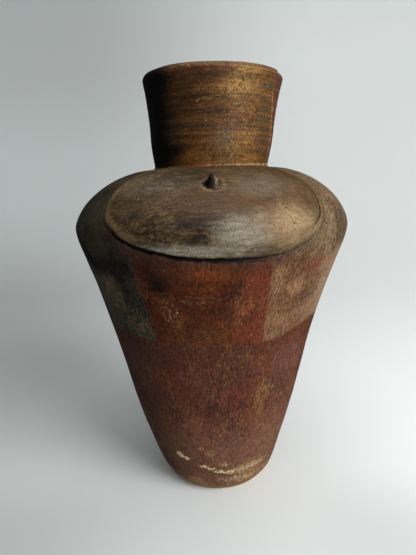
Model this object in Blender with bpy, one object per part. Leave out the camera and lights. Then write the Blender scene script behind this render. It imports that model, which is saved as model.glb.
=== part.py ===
"""Pottery jar: a hollow fired-clay vessel with a tapering body, a domed shoulder and a flared neck.

A raised oval pad lies on the front of the shoulder, with a small pointed nub near its top.
The jar stands on the origin, +Z is up and its front faces -Y. All sizes are in metres.
"""

import math

import bmesh
import bpy
from mathutils import Matrix, Vector
from mathutils.geometry import interpolate_bezier

# Outside of the vessel
FOOT_RADIUS = 0.0385
HEEL_RADIUS = 0.0455
HEEL_HEIGHT = 0.0099
SHOULDER_RADIUS = 0.0970
SHOULDER_HEIGHT = 0.1990
DOME_RISE = 0.0402
NECK_RADIUS = 0.0402
NECK_LENGTH = 0.0572
LIP_RADIUS = 0.0480
LIP_RISE = 0.0036

# Thickness of the clay
WALL = 0.0060
FLOOR = 0.0090
NECK_WALL = 0.0058

# Rounded corners of the section
FOOT_ROUND = 0.0020
NECK_FILLET = 0.0016
THROAT_ROUND = 0.0050
FLOOR_ROUND = 0.0120

# The hand-built axis bends sideways: its place along X at half height and at the rim
MIDDLE_LEAN = -0.0038
RIM_LEAN = -0.0016
# The dome sags to one side: its rise for each metre along X, fullest at the joint with the neck
DOME_TILT = 0.0160

# Course of the body wall and of the neck, as (share of height, share of the change in radius)
WALL_COURSE = ((0.16, 0.186), (0.31, 0.334), (0.47, 0.467), (0.64, 0.615), (0.79, 0.768), (0.89, 0.889))
NECK_COURSE = ((0.27, 0.32), (0.54, 0.46), (0.81, 0.72))
DOME_ROUNDNESS = 1.77

# Raised pad, measured in the plane that faces up and forward by PAD_TILT
PAD_TILT = math.radians(45)
PAD_SIDE = 0.0026
PAD_DROP = 0.0357
PAD_HALF_WIDTH = 0.0645
PAD_LOWER_REACH = 0.0375
PAD_UPPER_REACH = 0.0490
PAD_LOWER_STEP = 0.0020
PAD_UPPER_STEP = 0.0009
PAD_EMBED = 0.0030

# Nub, a pinched point of clay
NUB_SIDE = 0.0012
NUB_OUT = 0.0750
NUB_RADIUS = 0.0050
NUB_HEIGHT = 0.0070
NUB_EMBED = 0.0020

# Chip worn out of the rim
CHIP_START = math.radians(61)
CHIP_LENGTH = 0.0200
CHIP_DEPTH = 0.0011

# Fineness of the facets
AROUND = 64
SPAN_STEPS = 2
DOME_STEPS = 5
ROUND_STEPS = 3
LIP_STEPS = 6
PAD_AROUND = 48
NUB_AROUND = 12
INSIDE_EVERY = 2

JOINT_HEIGHT = SHOULDER_HEIGHT + DOME_RISE
LIP_HEIGHT = JOINT_HEIGHT + NECK_LENGTH
RIM_HEIGHT = LIP_HEIGHT + LIP_RISE


def clear_scene():
    """Remove the objects that a new file starts with."""
    for item in list(bpy.data.objects):
        bpy.data.objects.remove(item, do_unlink=True)


def settle(bm):
    """Lean and sag a mesh that was built around an upright axis, the way the soft clay has moved."""
    bend = 4.0 * MIDDLE_LEAN - RIM_LEAN
    for vert in bm.verts:
        share = vert.co.z / RIM_HEIGHT
        away = (vert.co.z - JOINT_HEIGHT) / NECK_LENGTH
        sag = DOME_TILT * vert.co.x * max(0.0, 1.0 - away * away)
        vert.co.x += bend * share + (RIM_LEAN - bend) * share * share
        vert.co.z += sag


def smooth_line(stations):
    """Points of a smooth curve that passes through the stations, SPAN_STEPS to each span."""
    points = [Vector(station) for station in stations]
    line = [points[0]]
    for index in range(len(points) - 1):
        start, end = points[index], points[index + 1]
        before = points[max(index - 1, 0)]
        after = points[min(index + 2, len(points) - 1)]
        span = (end - start).length
        leave = (end - before).normalized() * span / 3.0
        arrive = (after - start).normalized() * span / 3.0
        line += interpolate_bezier(start, start + leave, end - arrive, end, SPAN_STEPS + 1)[1:]
    return line


def rounded(before, corner, after, radius):
    """Arc of a radius that replaces the corner between two straight runs."""
    back = (before - corner).normalized()
    onward = (after - corner).normalized()
    half = back.angle(onward) / 2.0
    reach = radius / math.tan(half)
    start = corner + back * reach
    end = corner + onward * reach
    centre = corner + (back + onward).normalized() * radius / math.sin(half)
    arc = []
    for step in range(ROUND_STEPS + 1):
        share = step / ROUND_STEPS
        spoke = (start - centre).normalized().slerp((end - centre).normalized(), share)
        arc.append(centre + spoke * radius)
    return arc


def body_line():
    """Outer line of the body, from the ground up to the joint with the neck."""
    climb = SHOULDER_HEIGHT - HEEL_HEIGHT
    swell = SHOULDER_RADIUS - HEEL_RADIUS
    stations = [(FOOT_RADIUS, 0.0), (HEEL_RADIUS, HEEL_HEIGHT)]
    for up, out in WALL_COURSE:
        stations.append((HEEL_RADIUS + swell * out, HEEL_HEIGHT + climb * up))
    for step in range(DOME_STEPS + 1):
        turn = math.pi / 2.0 * step / DOME_STEPS
        across = math.cos(turn) ** (2.0 / DOME_ROUNDNESS)
        rise = math.sin(turn) ** (2.0 / DOME_ROUNDNESS)
        radius = NECK_RADIUS + (SHOULDER_RADIUS - NECK_RADIUS) * across
        stations.append((radius, SHOULDER_HEIGHT + DOME_RISE * rise))
    return smooth_line(stations)


def neck_line():
    """Outer line of the neck, from the joint up to the widest part of the lip."""
    stations = [(NECK_RADIUS, JOINT_HEIGHT)]
    for up, out in NECK_COURSE:
        stations.append((NECK_RADIUS + (LIP_RADIUS - NECK_RADIUS) * out, JOINT_HEIGHT + NECK_LENGTH * up))
    stations.append((LIP_RADIUS, LIP_HEIGHT))
    return smooth_line(stations)


def inset_line(line, depth):
    """The line moved towards the axis by a depth, square to its course."""
    inner = []
    for index, point in enumerate(line):
        along = line[min(index + 1, len(line) - 1)] - line[max(index - 1, 0)]
        inner.append(point + Vector((-along.y, along.x)).normalized() * depth)
    return inner


def clear_of(line, corner, reach):
    """The points of a line that lie further from a corner than a reach."""
    return [point for point in line if (point - corner).length > reach]


def section():
    """Half section of the clay, from the underside up the outside and down the inside to the floor."""
    body = body_line()
    neck = neck_line()
    foot = rounded(Vector((0.0, 0.0)), body[0], body[1], FOOT_ROUND)
    joint = rounded(body[-2], body[-1], neck[1], NECK_FILLET)
    outside = foot + clear_of(body[1:], body[-1], NECK_FILLET) + joint + clear_of(neck, neck[0], NECK_FILLET)

    lip = []
    for step in range(1, LIP_STEPS):
        turn = math.pi * step / LIP_STEPS
        radius = LIP_RADIUS - NECK_WALL * (1.0 - math.cos(turn)) / 2.0
        lip.append(Vector((radius, LIP_HEIGHT + LIP_RISE * math.sin(turn))))

    throat_line = [point - Vector((NECK_WALL, 0.0)) for point in reversed(neck)][::INSIDE_EVERY]
    throat_corner = Vector((NECK_RADIUS - NECK_WALL, JOINT_HEIGHT - WALL))
    belly = [point for point in reversed(inset_line(body, WALL)) if point.y > FLOOR][::INSIDE_EVERY]
    throat = rounded(throat_line[-2], throat_corner, belly[2], THROAT_ROUND)
    floor_corner = Vector((belly[-1].x, FLOOR))
    floor = rounded(belly[-2], floor_corner, Vector((0.0, FLOOR)), FLOOR_ROUND)
    room = 1.5 * FLOOR_ROUND
    inside = clear_of(throat_line, throat_corner, 1.5 * THROAT_ROUND) + throat
    inside += clear_of(clear_of(belly, throat_corner, 1.5 * THROAT_ROUND), floor_corner, room) + floor
    return outside + lip + inside


def outside_at(height, line):
    """Radius of the body at a height and the outward slope of its line there, as (radius, normal)."""
    for low, high in zip(line, line[1:]):
        if low.y <= height <= high.y:
            share = (height - low.y) / (high.y - low.y)
            along = high - low
            return low.x + along.x * share, Vector((along.y, -along.x)).normalized()
    return line[-1].x, Vector((0.0, 1.0))


def on_shoulder(side, up, line):
    """Place and outward normal of the shoulder, seen square to the pad's plane at (side, up)."""
    forward = Vector((0.0, -math.sin(PAD_TILT), math.cos(PAD_TILT)))
    upward = Vector((0.0, math.cos(PAD_TILT), math.sin(PAD_TILT)))
    base = Vector((side, 0.0, 0.0)) + upward * up
    inner = 0.0
    outer = SHOULDER_HEIGHT + SHOULDER_RADIUS
    for _ in range(40):
        middle = (inner + outer) / 2.0
        place = base + forward * middle
        radius, _slope = outside_at(place.z, line)
        if place.z < JOINT_HEIGHT and math.hypot(place.x, place.y) < radius:
            inner = middle
        else:
            outer = middle
    place = base + forward * inner
    _radius, slope = outside_at(place.z, line)
    spoke = Vector((place.x, place.y, 0.0)).normalized()
    normal = spoke * slope.x + Vector((0.0, 0.0, slope.y))
    return place, normal


def pad_reach(turn, centre_up):
    """Distance from the pad's centre to its edge in a direction, stopping inside the neck's wall."""
    upper = math.sin(turn) > 0.0
    tall = PAD_UPPER_REACH if upper else PAD_LOWER_REACH
    reach = 1.0 / math.hypot(math.cos(turn) / PAD_HALF_WIDTH, math.sin(turn) / tall)
    neck_core = NECK_RADIUS - NECK_WALL / 2.0
    for _ in range(200):
        side = PAD_SIDE + reach * math.cos(turn)
        if abs(side) >= neck_core:
            return reach
        front = -math.sqrt(neck_core ** 2 - side ** 2)
        limit = front * math.cos(PAD_TILT) + JOINT_HEIGHT * math.sin(PAD_TILT)
        if centre_up + reach * math.sin(turn) <= limit:
            return reach
        reach *= 0.99
    return reach


def pad_mesh(line):
    """Closed shell of the pad: a top that follows the shoulder, a rounded edge and a buried back."""
    centre_up = JOINT_HEIGHT * math.sin(PAD_TILT) - NECK_RADIUS * math.cos(PAD_TILT) - PAD_DROP
    rings = ((0.35, 1.0), (0.70, 1.0), (0.90, 1.0), (0.965, 0.92), (1.0, 0.5), (1.0, None), (0.70, None), (0.35, None))
    bm = bmesh.new()

    def lifted(turn, share, lift):
        reach = pad_reach(turn, centre_up) * share
        up = centre_up + reach * math.sin(turn)
        place, normal = on_shoulder(PAD_SIDE + reach * math.cos(turn), up, line)
        if lift is None:
            return bm.verts.new(place - normal * PAD_EMBED)
        low = centre_up - PAD_LOWER_REACH
        height = (up - low) / (PAD_LOWER_REACH + PAD_DROP)
        step = PAD_LOWER_STEP + (PAD_UPPER_STEP - PAD_LOWER_STEP) * min(height, 1.0)
        return bm.verts.new(place + normal * step * lift)

    top = lifted(0.0, 0.0, 1.0)
    back = lifted(0.0, 0.0, None)
    grid = []
    for share, lift in rings:
        grid.append([lifted(math.tau * step / PAD_AROUND, share, lift) for step in range(PAD_AROUND)])
    for step in range(PAD_AROUND):
        after = (step + 1) % PAD_AROUND
        bm.faces.new((top, grid[0][step], grid[0][after]))
        bm.faces.new((back, grid[-1][after], grid[-1][step]))
        for ring, outer in zip(grid, grid[1:]):
            bm.faces.new((ring[step], outer[step], outer[after], ring[after]))
    bmesh.ops.recalc_face_normals(bm, faces=bm.faces)
    return bm


def nub_mesh(line):
    """Closed shell of the nub: a point with hollowed sides, standing square on the shoulder."""
    stations = ((0.0, 1.0), (0.14, 0.95), (0.30, 0.76), (0.50, 0.48), (0.76, 0.18), (1.0, 0.0))
    radius_here = NUB_OUT
    height = JOINT_HEIGHT
    for low, high in zip(line, line[1:]):
        if low.x >= radius_here >= high.x:
            height = low.y + (high.y - low.y) * (low.x - radius_here) / (low.x - high.x)
    _radius, slope = outside_at(height, line)
    base = Vector((NUB_SIDE, -radius_here, height))
    direction = Vector((0.0, -slope.x, slope.y))

    bm = bmesh.new()
    chain = [bm.verts.new((NUB_RADIUS * out, 0.0, NUB_HEIGHT * up)) for out, up in stations]
    chain.append(bm.verts.new((NUB_RADIUS, 0.0, -NUB_EMBED)))
    chain.append(bm.verts.new((0.0, 0.0, -NUB_EMBED)))
    edges = [bm.edges.new(pair) for pair in zip(chain, chain[1:])]
    spin_closed(bm, edges, NUB_AROUND)
    turn = Vector((0.0, 0.0, 1.0)).rotation_difference(direction).to_matrix().to_4x4()
    bmesh.ops.transform(bm, matrix=Matrix.Translation(base) @ turn, verts=bm.verts)
    return bm


def chip_mesh():
    """Closed block whose start face stands across the rim where the chip begins."""
    bm = bmesh.new()
    bmesh.ops.create_cube(bm, size=1.0)
    height = 4.0 * LIP_RISE
    bmesh.ops.scale(bm, vec=(4.0 * NECK_WALL, CHIP_LENGTH, height), verts=bm.verts)
    bottom = RIM_HEIGHT - CHIP_DEPTH
    shift = Vector((LIP_RADIUS - NECK_WALL / 2.0, CHIP_LENGTH / 2.0, bottom + height / 2.0))
    bmesh.ops.translate(bm, vec=shift, verts=bm.verts)
    turn = Matrix.Rotation(CHIP_START - math.pi / 2.0, 4, "Z")
    bmesh.ops.transform(bm, matrix=turn, verts=bm.verts)
    return bm


def spin_closed(bm, edges, count):
    """Spin edges once around Z, merge the seam and the poles, fill what stays open, face it outward."""
    geometry = list(edges) + list({vert for edge in edges for vert in edge.verts})
    bmesh.ops.spin(
        bm, geom=geometry, cent=(0.0, 0.0, 0.0), axis=(0.0, 0.0, 1.0),
        angle=math.tau, steps=count, use_merge=True,
    )
    bmesh.ops.remove_doubles(bm, verts=bm.verts, dist=0.00001)
    open_edges = [edge for edge in bm.edges if edge.is_boundary]
    if open_edges:
        bmesh.ops.holes_fill(bm, edges=open_edges, sides=0)
    bmesh.ops.recalc_face_normals(bm, faces=bm.faces)


def vessel_mesh():
    """The hollow vessel: the half section spun around Z."""
    bm = bmesh.new()
    chain = [bm.verts.new((point.x, 0.0, point.y)) for point in section()]
    edges = [bm.edges.new(pair) for pair in zip(chain, chain[1:])]
    spin_closed(bm, edges, AROUND)
    return bm


def make_object(name, bm):
    """Settle a mesh and put it into the scene as an object with a name."""
    settle(bm)
    mesh = bpy.data.meshes.new(name)
    bm.to_mesh(mesh)
    bm.free()
    item = bpy.data.objects.new(name, mesh)
    bpy.context.scene.collection.objects.link(item)
    return item


def fit_tool(vessel, tool, operation):
    """Join a tool to the vessel, or cut it out, with a live Boolean modifier."""
    tool.hide_render = True
    tool.display_type = "WIRE"
    modifier = vessel.modifiers.new(tool.name, "BOOLEAN")
    modifier.operation = operation
    modifier.solver = "EXACT"
    modifier.object = tool


def burnished_clay():
    """Dark red-brown burnished clay."""
    material = bpy.data.materials.new("burnished_clay")
    material.use_nodes = True
    shader = material.node_tree.nodes["Principled BSDF"]
    shader.inputs["Base Color"].default_value = (0.16, 0.07, 0.035, 1.0)
    shader.inputs["Roughness"].default_value = 0.42
    shader.inputs["Metallic"].default_value = 0.0
    return material


def main():
    """Build the jar."""
    clear_scene()
    line = body_line()
    jar = make_object("jar", vessel_mesh())
    fit_tool(jar, make_object("pad_tool", pad_mesh(line)), "UNION")
    fit_tool(jar, make_object("nub_tool", nub_mesh(line)), "UNION")
    fit_tool(jar, make_object("chip_tool", chip_mesh()), "DIFFERENCE")
    jar.data.materials.append(burnished_clay())
    jar.data.shade_smooth()
    jar.data.set_sharp_from_angle(angle=math.radians(35))


main()
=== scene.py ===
"""Dresses the pottery jar: its fine clay surface, painted slips, burnish and wear, in a plain studio."""

import logging
import math
from dataclasses import dataclass, field
from enum import Enum

import bmesh
import bpy
from mathutils import Matrix, Vector, noise
from mathutils.geometry import interpolate_bezier


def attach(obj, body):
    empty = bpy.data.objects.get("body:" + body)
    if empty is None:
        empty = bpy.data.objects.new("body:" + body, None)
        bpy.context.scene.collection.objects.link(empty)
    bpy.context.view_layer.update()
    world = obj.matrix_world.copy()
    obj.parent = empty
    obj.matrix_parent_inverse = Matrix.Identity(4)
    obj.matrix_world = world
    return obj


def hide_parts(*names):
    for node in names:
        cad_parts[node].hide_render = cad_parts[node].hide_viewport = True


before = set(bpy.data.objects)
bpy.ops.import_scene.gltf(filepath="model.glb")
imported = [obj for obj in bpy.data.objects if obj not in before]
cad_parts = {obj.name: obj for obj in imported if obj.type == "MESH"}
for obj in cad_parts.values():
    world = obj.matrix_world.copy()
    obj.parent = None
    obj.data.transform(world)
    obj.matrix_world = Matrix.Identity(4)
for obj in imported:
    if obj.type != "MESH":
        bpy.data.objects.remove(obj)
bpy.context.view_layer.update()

LOG = logging.getLogger("jar")
MM = 0.001
WELD = 0.00001
OFF_THE_PAD = -0.050

# Sockets of a Mix node that is set to colours
MIX_FIRST, MIX_SECOND, MIX_RESULT = 6, 7, 2

Colour = tuple[float, float, float]
Socket = bpy.types.NodeSocket
Value = Socket | float
Tint = Socket | Colour


def smooth(value: float, low: float, high: float) -> float:
    """Ease from 0 at low to 1 at high.

    Args:
        value: Where on the ramp.
        low: The value that gives 0, which may lie above high.
        high: The value that gives 1.

    Returns:
        A number from 0 to 1.
    """
    share = min(max((value - low) / (high - low), 0.0), 1.0)
    return share * share * (3.0 - 2.0 * share)


def blend(share: float, first: float, second: float) -> float:
    """The number that lies a share of the way from the first to the second."""
    return first + (second - first) * share


@dataclass(frozen=True)
class JarForm:
    """The form of the clay, with the sizes of the solid, in metres."""

    foot_radius: float = 0.0385
    heel_radius: float = 0.0455
    heel_height: float = 0.0099
    shoulder_radius: float = 0.0970
    shoulder_height: float = 0.1990
    dome_rise: float = 0.0402
    neck_radius: float = 0.0402
    neck_length: float = 0.0572
    lip_radius: float = 0.0480
    lip_rise: float = 0.0036
    wall: float = 0.0060
    floor: float = 0.0090
    neck_wall: float = 0.0058
    foot_round: float = 0.0020
    neck_fillet: float = 0.0016
    throat_round: float = 0.0050
    floor_round: float = 0.0120
    middle_lean: float = -0.0038
    rim_lean: float = -0.0016
    dome_tilt: float = 0.0160
    dome_roundness: float = 1.77
    wall_course: tuple = (
        (0.16, 0.186), (0.31, 0.334), (0.47, 0.467), (0.64, 0.615), (0.79, 0.768), (0.89, 0.889),
    )
    neck_course: tuple = ((0.27, 0.32), (0.54, 0.46), (0.81, 0.72))
    dome_steps: int = 5

    @property
    def joint_height(self) -> float:
        """Height where the shoulder meets the neck."""
        return self.shoulder_height + self.dome_rise

    @property
    def lip_height(self) -> float:
        """Height of the widest part of the lip."""
        return self.joint_height + self.neck_length

    @property
    def rim_height(self) -> float:
        """Height of the top of the rim."""
        return self.lip_height + self.lip_rise

    def settle(self, place: Vector) -> Vector:
        """Lean and sag a place on the upright form, the way the soft clay has moved.

        Args:
            place: A place on the form around the upright axis.

        Returns:
            The same place on the leaning jar.
        """
        bend = 4.0 * self.middle_lean - self.rim_lean
        share = place.z / self.rim_height
        away = (place.z - self.joint_height) / self.neck_length
        sag = self.dome_tilt * place.x * max(0.0, 1.0 - away * away)
        lean = bend * share + (self.rim_lean - bend) * share * share
        return Vector((place.x + lean, place.y, place.z + sag))

    def body_line(self, steps: int) -> list[Vector]:
        """Outer line of the body from the ground to the joint with the neck.

        Args:
            steps: Points on each span between two stations.

        Returns:
            Points as (radius, height).
        """
        climb = self.shoulder_height - self.heel_height
        swell = self.shoulder_radius - self.heel_radius
        stations = [(self.foot_radius, 0.0), (self.heel_radius, self.heel_height)]
        for up, out in self.wall_course:
            stations.append((self.heel_radius + swell * out, self.heel_height + climb * up))
        for step in range(self.dome_steps + 1):
            turn = math.pi / (2.0 * self.dome_steps) * step
            across = math.cos(turn) ** (2.0 / self.dome_roundness)
            rise = math.sin(turn) ** (2.0 / self.dome_roundness)
            radius = self.neck_radius + (self.shoulder_radius - self.neck_radius) * across
            stations.append((radius, self.shoulder_height + self.dome_rise * rise))
        return smooth_line(stations, steps)

    def neck_line(self, steps: int) -> list[Vector]:
        """Outer line of the neck from the joint to the lip.

        Args:
            steps: Points on each span between two stations.

        Returns:
            Points as (radius, height).
        """
        stations = [(self.neck_radius, self.joint_height)]
        for up, out in self.neck_course:
            radius = self.neck_radius + (self.lip_radius - self.neck_radius) * out
            stations.append((radius, self.joint_height + self.neck_length * up))
        stations.append((self.lip_radius, self.lip_height))
        return smooth_line(stations, steps)


def smooth_line(stations: list[tuple[float, float]], steps: int) -> list[Vector]:
    """Smooth curve through stations, with the tangents of the solid's own curve.

    Args:
        stations: Points that the curve passes through.
        steps: Points on each span.

    Returns:
        The points of the curve.
    """
    points = [Vector(station) for station in stations]
    line = [points[0]]
    for index in range(len(points) - 1):
        start, end = points[index], points[index + 1]
        before = points[max(index - 1, 0)]
        after = points[min(index + 2, len(points) - 1)]
        span = (end - start).length
        leave = (end - before).normalized() * span / 3.0
        arrive = (after - start).normalized() * span / 3.0
        line += interpolate_bezier(start, start + leave, end - arrive, end, steps + 1)[1:]
    return line


def rounded(before: Vector, corner: Vector, after: Vector, radius: float, steps: int = 5) -> list[Vector]:
    """Arc that replaces the corner between two straight runs.

    Args:
        before: A point on the run that arrives.
        corner: Where the runs meet.
        after: A point on the run that leaves.
        radius: The arc's radius.
        steps: How many chords make the arc.

    Returns:
        The arc's points.
    """
    back = (before - corner).normalized()
    onward = (after - corner).normalized()
    half = back.angle(onward) / 2.0
    start = corner + back * radius / math.tan(half)
    end = corner + onward * radius / math.tan(half)
    centre = corner + (back + onward).normalized() * radius / math.sin(half)
    first, last = (start - centre).normalized(), (end - centre).normalized()
    return [centre + first.slerp(last, step / steps) * radius for step in range(steps + 1)]


def spaced(line: list[Vector], spacing: float) -> list[Vector]:
    """The line walked again in even strides.

    Args:
        line: Closely set points.
        spacing: Wanted length of a stride.

    Returns:
        Evenly spaced points, with both ends kept.
    """
    lengths = [0.0]
    for start, end in zip(line, line[1:]):
        lengths.append(lengths[-1] + (end - start).length)
    count = max(1, round(lengths[-1] / spacing))
    walked = []
    index = 0
    for step in range(count + 1):
        goal = lengths[-1] * step / count
        while index < len(line) - 2 and lengths[index + 1] < goal:
            index += 1
        share = (goal - lengths[index]) / (lengths[index + 1] - lengths[index])
        walked.append(line[index].lerp(line[index + 1], share))
    return walked


class Zone(Enum):
    """What a stretch of the section belongs to, in the order of the material slots."""

    BODY = 0
    NECK = 1
    INSIDE = 2


@dataclass
class Section:
    """Half section of the clay with its zones, from the underside over the rim down to the floor."""

    form: JarForm
    outer_spacing: float = 0.0023
    inner_spacing: float = 0.0065
    span_steps: int = 24
    fillet_steps: int = 6
    lip_steps: int = 12
    corner_room: float = 1.2
    throat_room: float = 1.3
    past_throat: int = 20
    past_floor: int = 9
    points: list[Vector] = field(default_factory=list)
    zones: list[Zone] = field(default_factory=list)

    def __post_init__(self) -> None:
        """Lay the points of the whole section."""
        form = self.form
        body = form.body_line(self.span_steps)
        neck = form.neck_line(self.span_steps)
        fillet = form.neck_fillet
        foot = rounded(Vector((0.0, 0.0)), body[0], body[1], form.foot_round)
        joint = rounded(body[-2], body[-1], neck[1], fillet, self.fillet_steps)
        wall = [point for point in body[1:] if (point - body[-1]).length > self.corner_room * fillet]
        wall = [point for point in wall if point.y > foot[-1].y + 0.3 * MM]
        collar = [point for point in neck if (point - neck[0]).length > self.corner_room * fillet]
        seam = self.fillet_steps // 2 + 1
        self.lay(foot + spaced(wall, self.outer_spacing) + joint[:seam], Zone.BODY)
        self.lay(joint[seam:] + spaced(collar, self.outer_spacing), Zone.NECK)
        lip = []
        for step in range(1, self.lip_steps):
            turn = math.pi * step / self.lip_steps
            radius = form.lip_radius - form.neck_wall * (1.0 - math.cos(turn)) / 2.0
            lip.append(Vector((radius, form.lip_height + form.lip_rise * math.sin(turn))))
        self.lay(lip, Zone.NECK)
        self.lay(self.inner_points(body, neck), Zone.INSIDE)

    def lay(self, points: list[Vector], zone: Zone) -> None:
        """Add points that belong to one zone."""
        self.points += points
        self.zones += [zone] * len(points)

    def inner_points(self, body: list[Vector], neck: list[Vector]) -> list[Vector]:
        """Line of the inside, from under the lip to the edge of the floor.

        Args:
            body: Outer line of the body.
            neck: Outer line of the neck.

        Returns:
            Points as (radius, height).
        """
        form = self.form
        shift = Vector((form.neck_wall, 0.0))
        throat_line = [point - shift for point in reversed(neck)]
        throat_corner = Vector((form.neck_radius - form.neck_wall, form.joint_height - form.wall))
        belly = []
        for index in range(len(body) - 1, 0, -1):
            along = body[min(index + 1, len(body) - 1)] - body[index - 1]
            point = body[index] + Vector((-along.y, along.x)).normalized() * form.wall
            if point.y > form.floor:
                belly.append(point)
        throat = rounded(throat_line[-2], throat_corner, belly[self.past_throat], form.throat_round)
        floor_corner = Vector((belly[-1].x, form.floor))
        floor = rounded(belly[-self.past_floor], floor_corner, Vector((0.0, form.floor)), form.floor_round)
        reach = self.throat_room * form.throat_round
        upper = [point for point in throat_line if (point - throat_corner).length > reach]
        lower = [point for point in belly if (point - throat_corner).length > reach]
        reach = self.corner_room * form.floor_round
        lower = [point for point in lower if (point - floor_corner).length > reach]
        return spaced(upper, self.inner_spacing)[1:] + throat + spaced(lower, self.inner_spacing) + floor


@dataclass(frozen=True)
class Pad:
    """The raised oval pad on the front of the shoulder, measured in the plane that faces up and forward."""

    form: JarForm
    tilt: float = math.radians(45)
    side: float = 0.0026
    drop: float = 0.0357
    half_width: float = 0.0645
    lower_reach: float = 0.0375
    upper_reach: float = 0.0490
    lower_step: float = 0.0017
    upper_step: float = 0.0007
    roll: float = 0.0016
    groove_width: float = 0.0014
    groove_depth: float = 0.0007
    bead_inset: float = 0.0036
    bead_depth: float = 0.0005
    ridge_out: float = 0.0029
    ridge_height: float = 0.00028
    line_width: float = 0.0008
    edge_share: float = 0.35
    edge_width: float = 0.00035
    reach_out: float = 0.006
    back: float = -0.010
    lowest: float = 0.150

    def plane(self, place: Vector) -> tuple[float, float]:
        """Where a place lies in the pad's plane, from the pad's centre.

        Args:
            place: A place on the upright form.

        Returns:
            The distances to the side and up, in metres.
        """
        form = self.form
        joint = form.joint_height * math.sin(self.tilt) - form.neck_radius * math.cos(self.tilt)
        up = place.y * math.cos(self.tilt) + place.z * math.sin(self.tilt)
        return place.x - self.side, up - (joint - self.drop)

    def inset(self, place: Vector) -> float:
        """Distance in from the pad's edge, negative outside it and on the far side of the jar.

        Args:
            place: A place on the upright form.

        Returns:
            The distance in metres.
        """
        if place.y > self.back or place.z < self.lowest:
            return OFF_THE_PAD
        side, up = self.plane(place)
        tall = self.upper_reach if up > 0.0 else self.lower_reach
        share = math.hypot(side / self.half_width, up / tall)
        slope = math.hypot(side / self.half_width ** 2, up / tall ** 2)
        if share < 1e-6:
            return self.lower_reach
        return max(OFF_THE_PAD, (1.0 - share) * share / slope)

    def height(self, place: Vector, inset: float) -> float:
        """How far the pad and its groove move the surface outward.

        Args:
            place: A place on the upright form.
            inset: Its distance in from the pad's edge.

        Returns:
            The height in metres, negative in the groove.
        """
        if inset < -self.reach_out:
            return 0.0
        side, up = self.plane(place)
        high = smooth(up, -0.5 * self.lower_reach, 0.9 * self.drop)
        step = blend(high, self.lower_step, self.upper_step)
        if inset >= 0.0:
            turn = min(inset / self.roll, 1.0)
            bead_side = smooth(side, 0.2 * self.half_width, 0.6 * self.half_width)
            bead = self.bead_depth * bead_side * math.exp(-((inset - self.bead_inset) / self.line_width) ** 2)
            rounding = (1.0 - self.edge_share) * math.sqrt(turn * (2.0 - turn))
            return step * (self.edge_share + rounding) - bead
        groove = -self.groove_depth * (1.0 - smooth(-inset, 0.3 * self.groove_width, self.groove_width))
        ridge_side = smooth(abs(side), 0.4 * self.half_width, 0.8 * self.half_width)
        ridge = self.ridge_height * ridge_side * math.exp(-((inset + self.ridge_out) / self.line_width) ** 2)
        fall = smooth(inset, -self.edge_width, 0.0)
        return blend(fall, groove, self.edge_share * step) + ridge


@dataclass(frozen=True)
class Nub:
    """The small pinched point of clay near the top of the pad."""

    form: JarForm
    side: float = 0.0012
    out: float = 0.0750
    radius: float = 0.0050
    height_out: float = 0.0070
    course: tuple = ((0.0, 1.0), (0.16, 0.95), (0.36, 0.78), (0.58, 0.50), (0.80, 0.19), (1.0, 0.0))
    line_steps: int = 12

    def base(self) -> Vector:
        """Centre of the nub's base on the upright form.

        Returns:
            The centre.
        """
        line = self.form.body_line(self.line_steps)
        for low, high in zip(line, line[1:]):
            if low.x >= self.out >= high.x:
                share = (low.x - self.out) / (low.x - high.x)
                return Vector((self.side, -self.out, low.y + (high.y - low.y) * share))
        return Vector((self.side, -self.out, self.form.joint_height))

    def height(self, away: float) -> float:
        """How far the nub stands out at a distance from its centre.

        Args:
            away: The distance in metres.

        Returns:
            The height in metres, 0 past the nub's foot.
        """
        share = away / self.radius
        for (near, tall), (far, low) in zip(self.course, self.course[1:]):
            if near <= share <= far:
                return self.height_out * blend((share - near) / (far - near), tall, low)
        return 0.0


@dataclass(frozen=True)
class HandWork:
    """Unevenness that building, scraping and burnishing by hand leave in the clay, as heights in metres."""

    bulge: float = 0.00040
    dent: float = 0.00014
    scrape: float = 0.00005
    stroke: float = 0.00003
    bulge_scale: float = 17.0
    dent_scale: float = 52.0
    dent_shift: tuple = (7.0, 3.0, 1.0)
    scrape_scale: tuple = (12.0, 12.0, 170.0)
    stroke_scale: tuple = (30.0, 11.0)
    stroke_shift: float = 4.0

    def height(self, place: Vector) -> float:
        """The outward move of the surface at a place on the upright form.

        Args:
            place: The place.

        Returns:
            The move in metres, negative for a hollow.
        """
        turn = math.atan2(place.x, -place.y)
        around = Vector([part * scale for part, scale in zip(place, self.scrape_scale)])
        upright = Vector((turn * self.stroke_scale[0], place.z * self.stroke_scale[1], self.stroke_shift))
        return (
            self.bulge * noise.noise(place * self.bulge_scale)
            + self.dent * noise.noise(place * self.dent_scale + Vector(self.dent_shift))
            + self.scrape * noise.noise(around)
            + self.stroke * noise.noise(upright)
        )


@dataclass(frozen=True)
class Rim:
    """Wear of the rim: a slow wave and a chip on the right of the front."""

    form: JarForm
    wave: float = 0.00028
    wave_scale: float = 95.0
    chip_start: float = math.radians(61)
    chip_end: float = math.radians(86)
    chip_edge: float = math.radians(0.9)
    chip_slope: float = 9.0
    chip_depth: float = 0.0011

    def drop(self, place: Vector) -> float:
        """How far the wear lowers the rim at a place on the upright form.

        Args:
            place: The place.

        Returns:
            The drop in metres, 0 below the lip.
        """
        top = smooth(place.z, self.form.lip_height - MM, self.form.rim_height)
        turn = math.atan2(place.x, -place.y)
        chip = smooth(turn, self.chip_start, self.chip_start + self.chip_edge)
        chip *= 1.0 - smooth(turn, self.chip_end - self.chip_slope * self.chip_edge, self.chip_end)
        ripple = noise.noise(Vector((place.x, place.y, 0.0)) * self.wave_scale)
        return top * (self.chip_depth * chip + self.wave * (0.5 + ripple))


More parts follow.
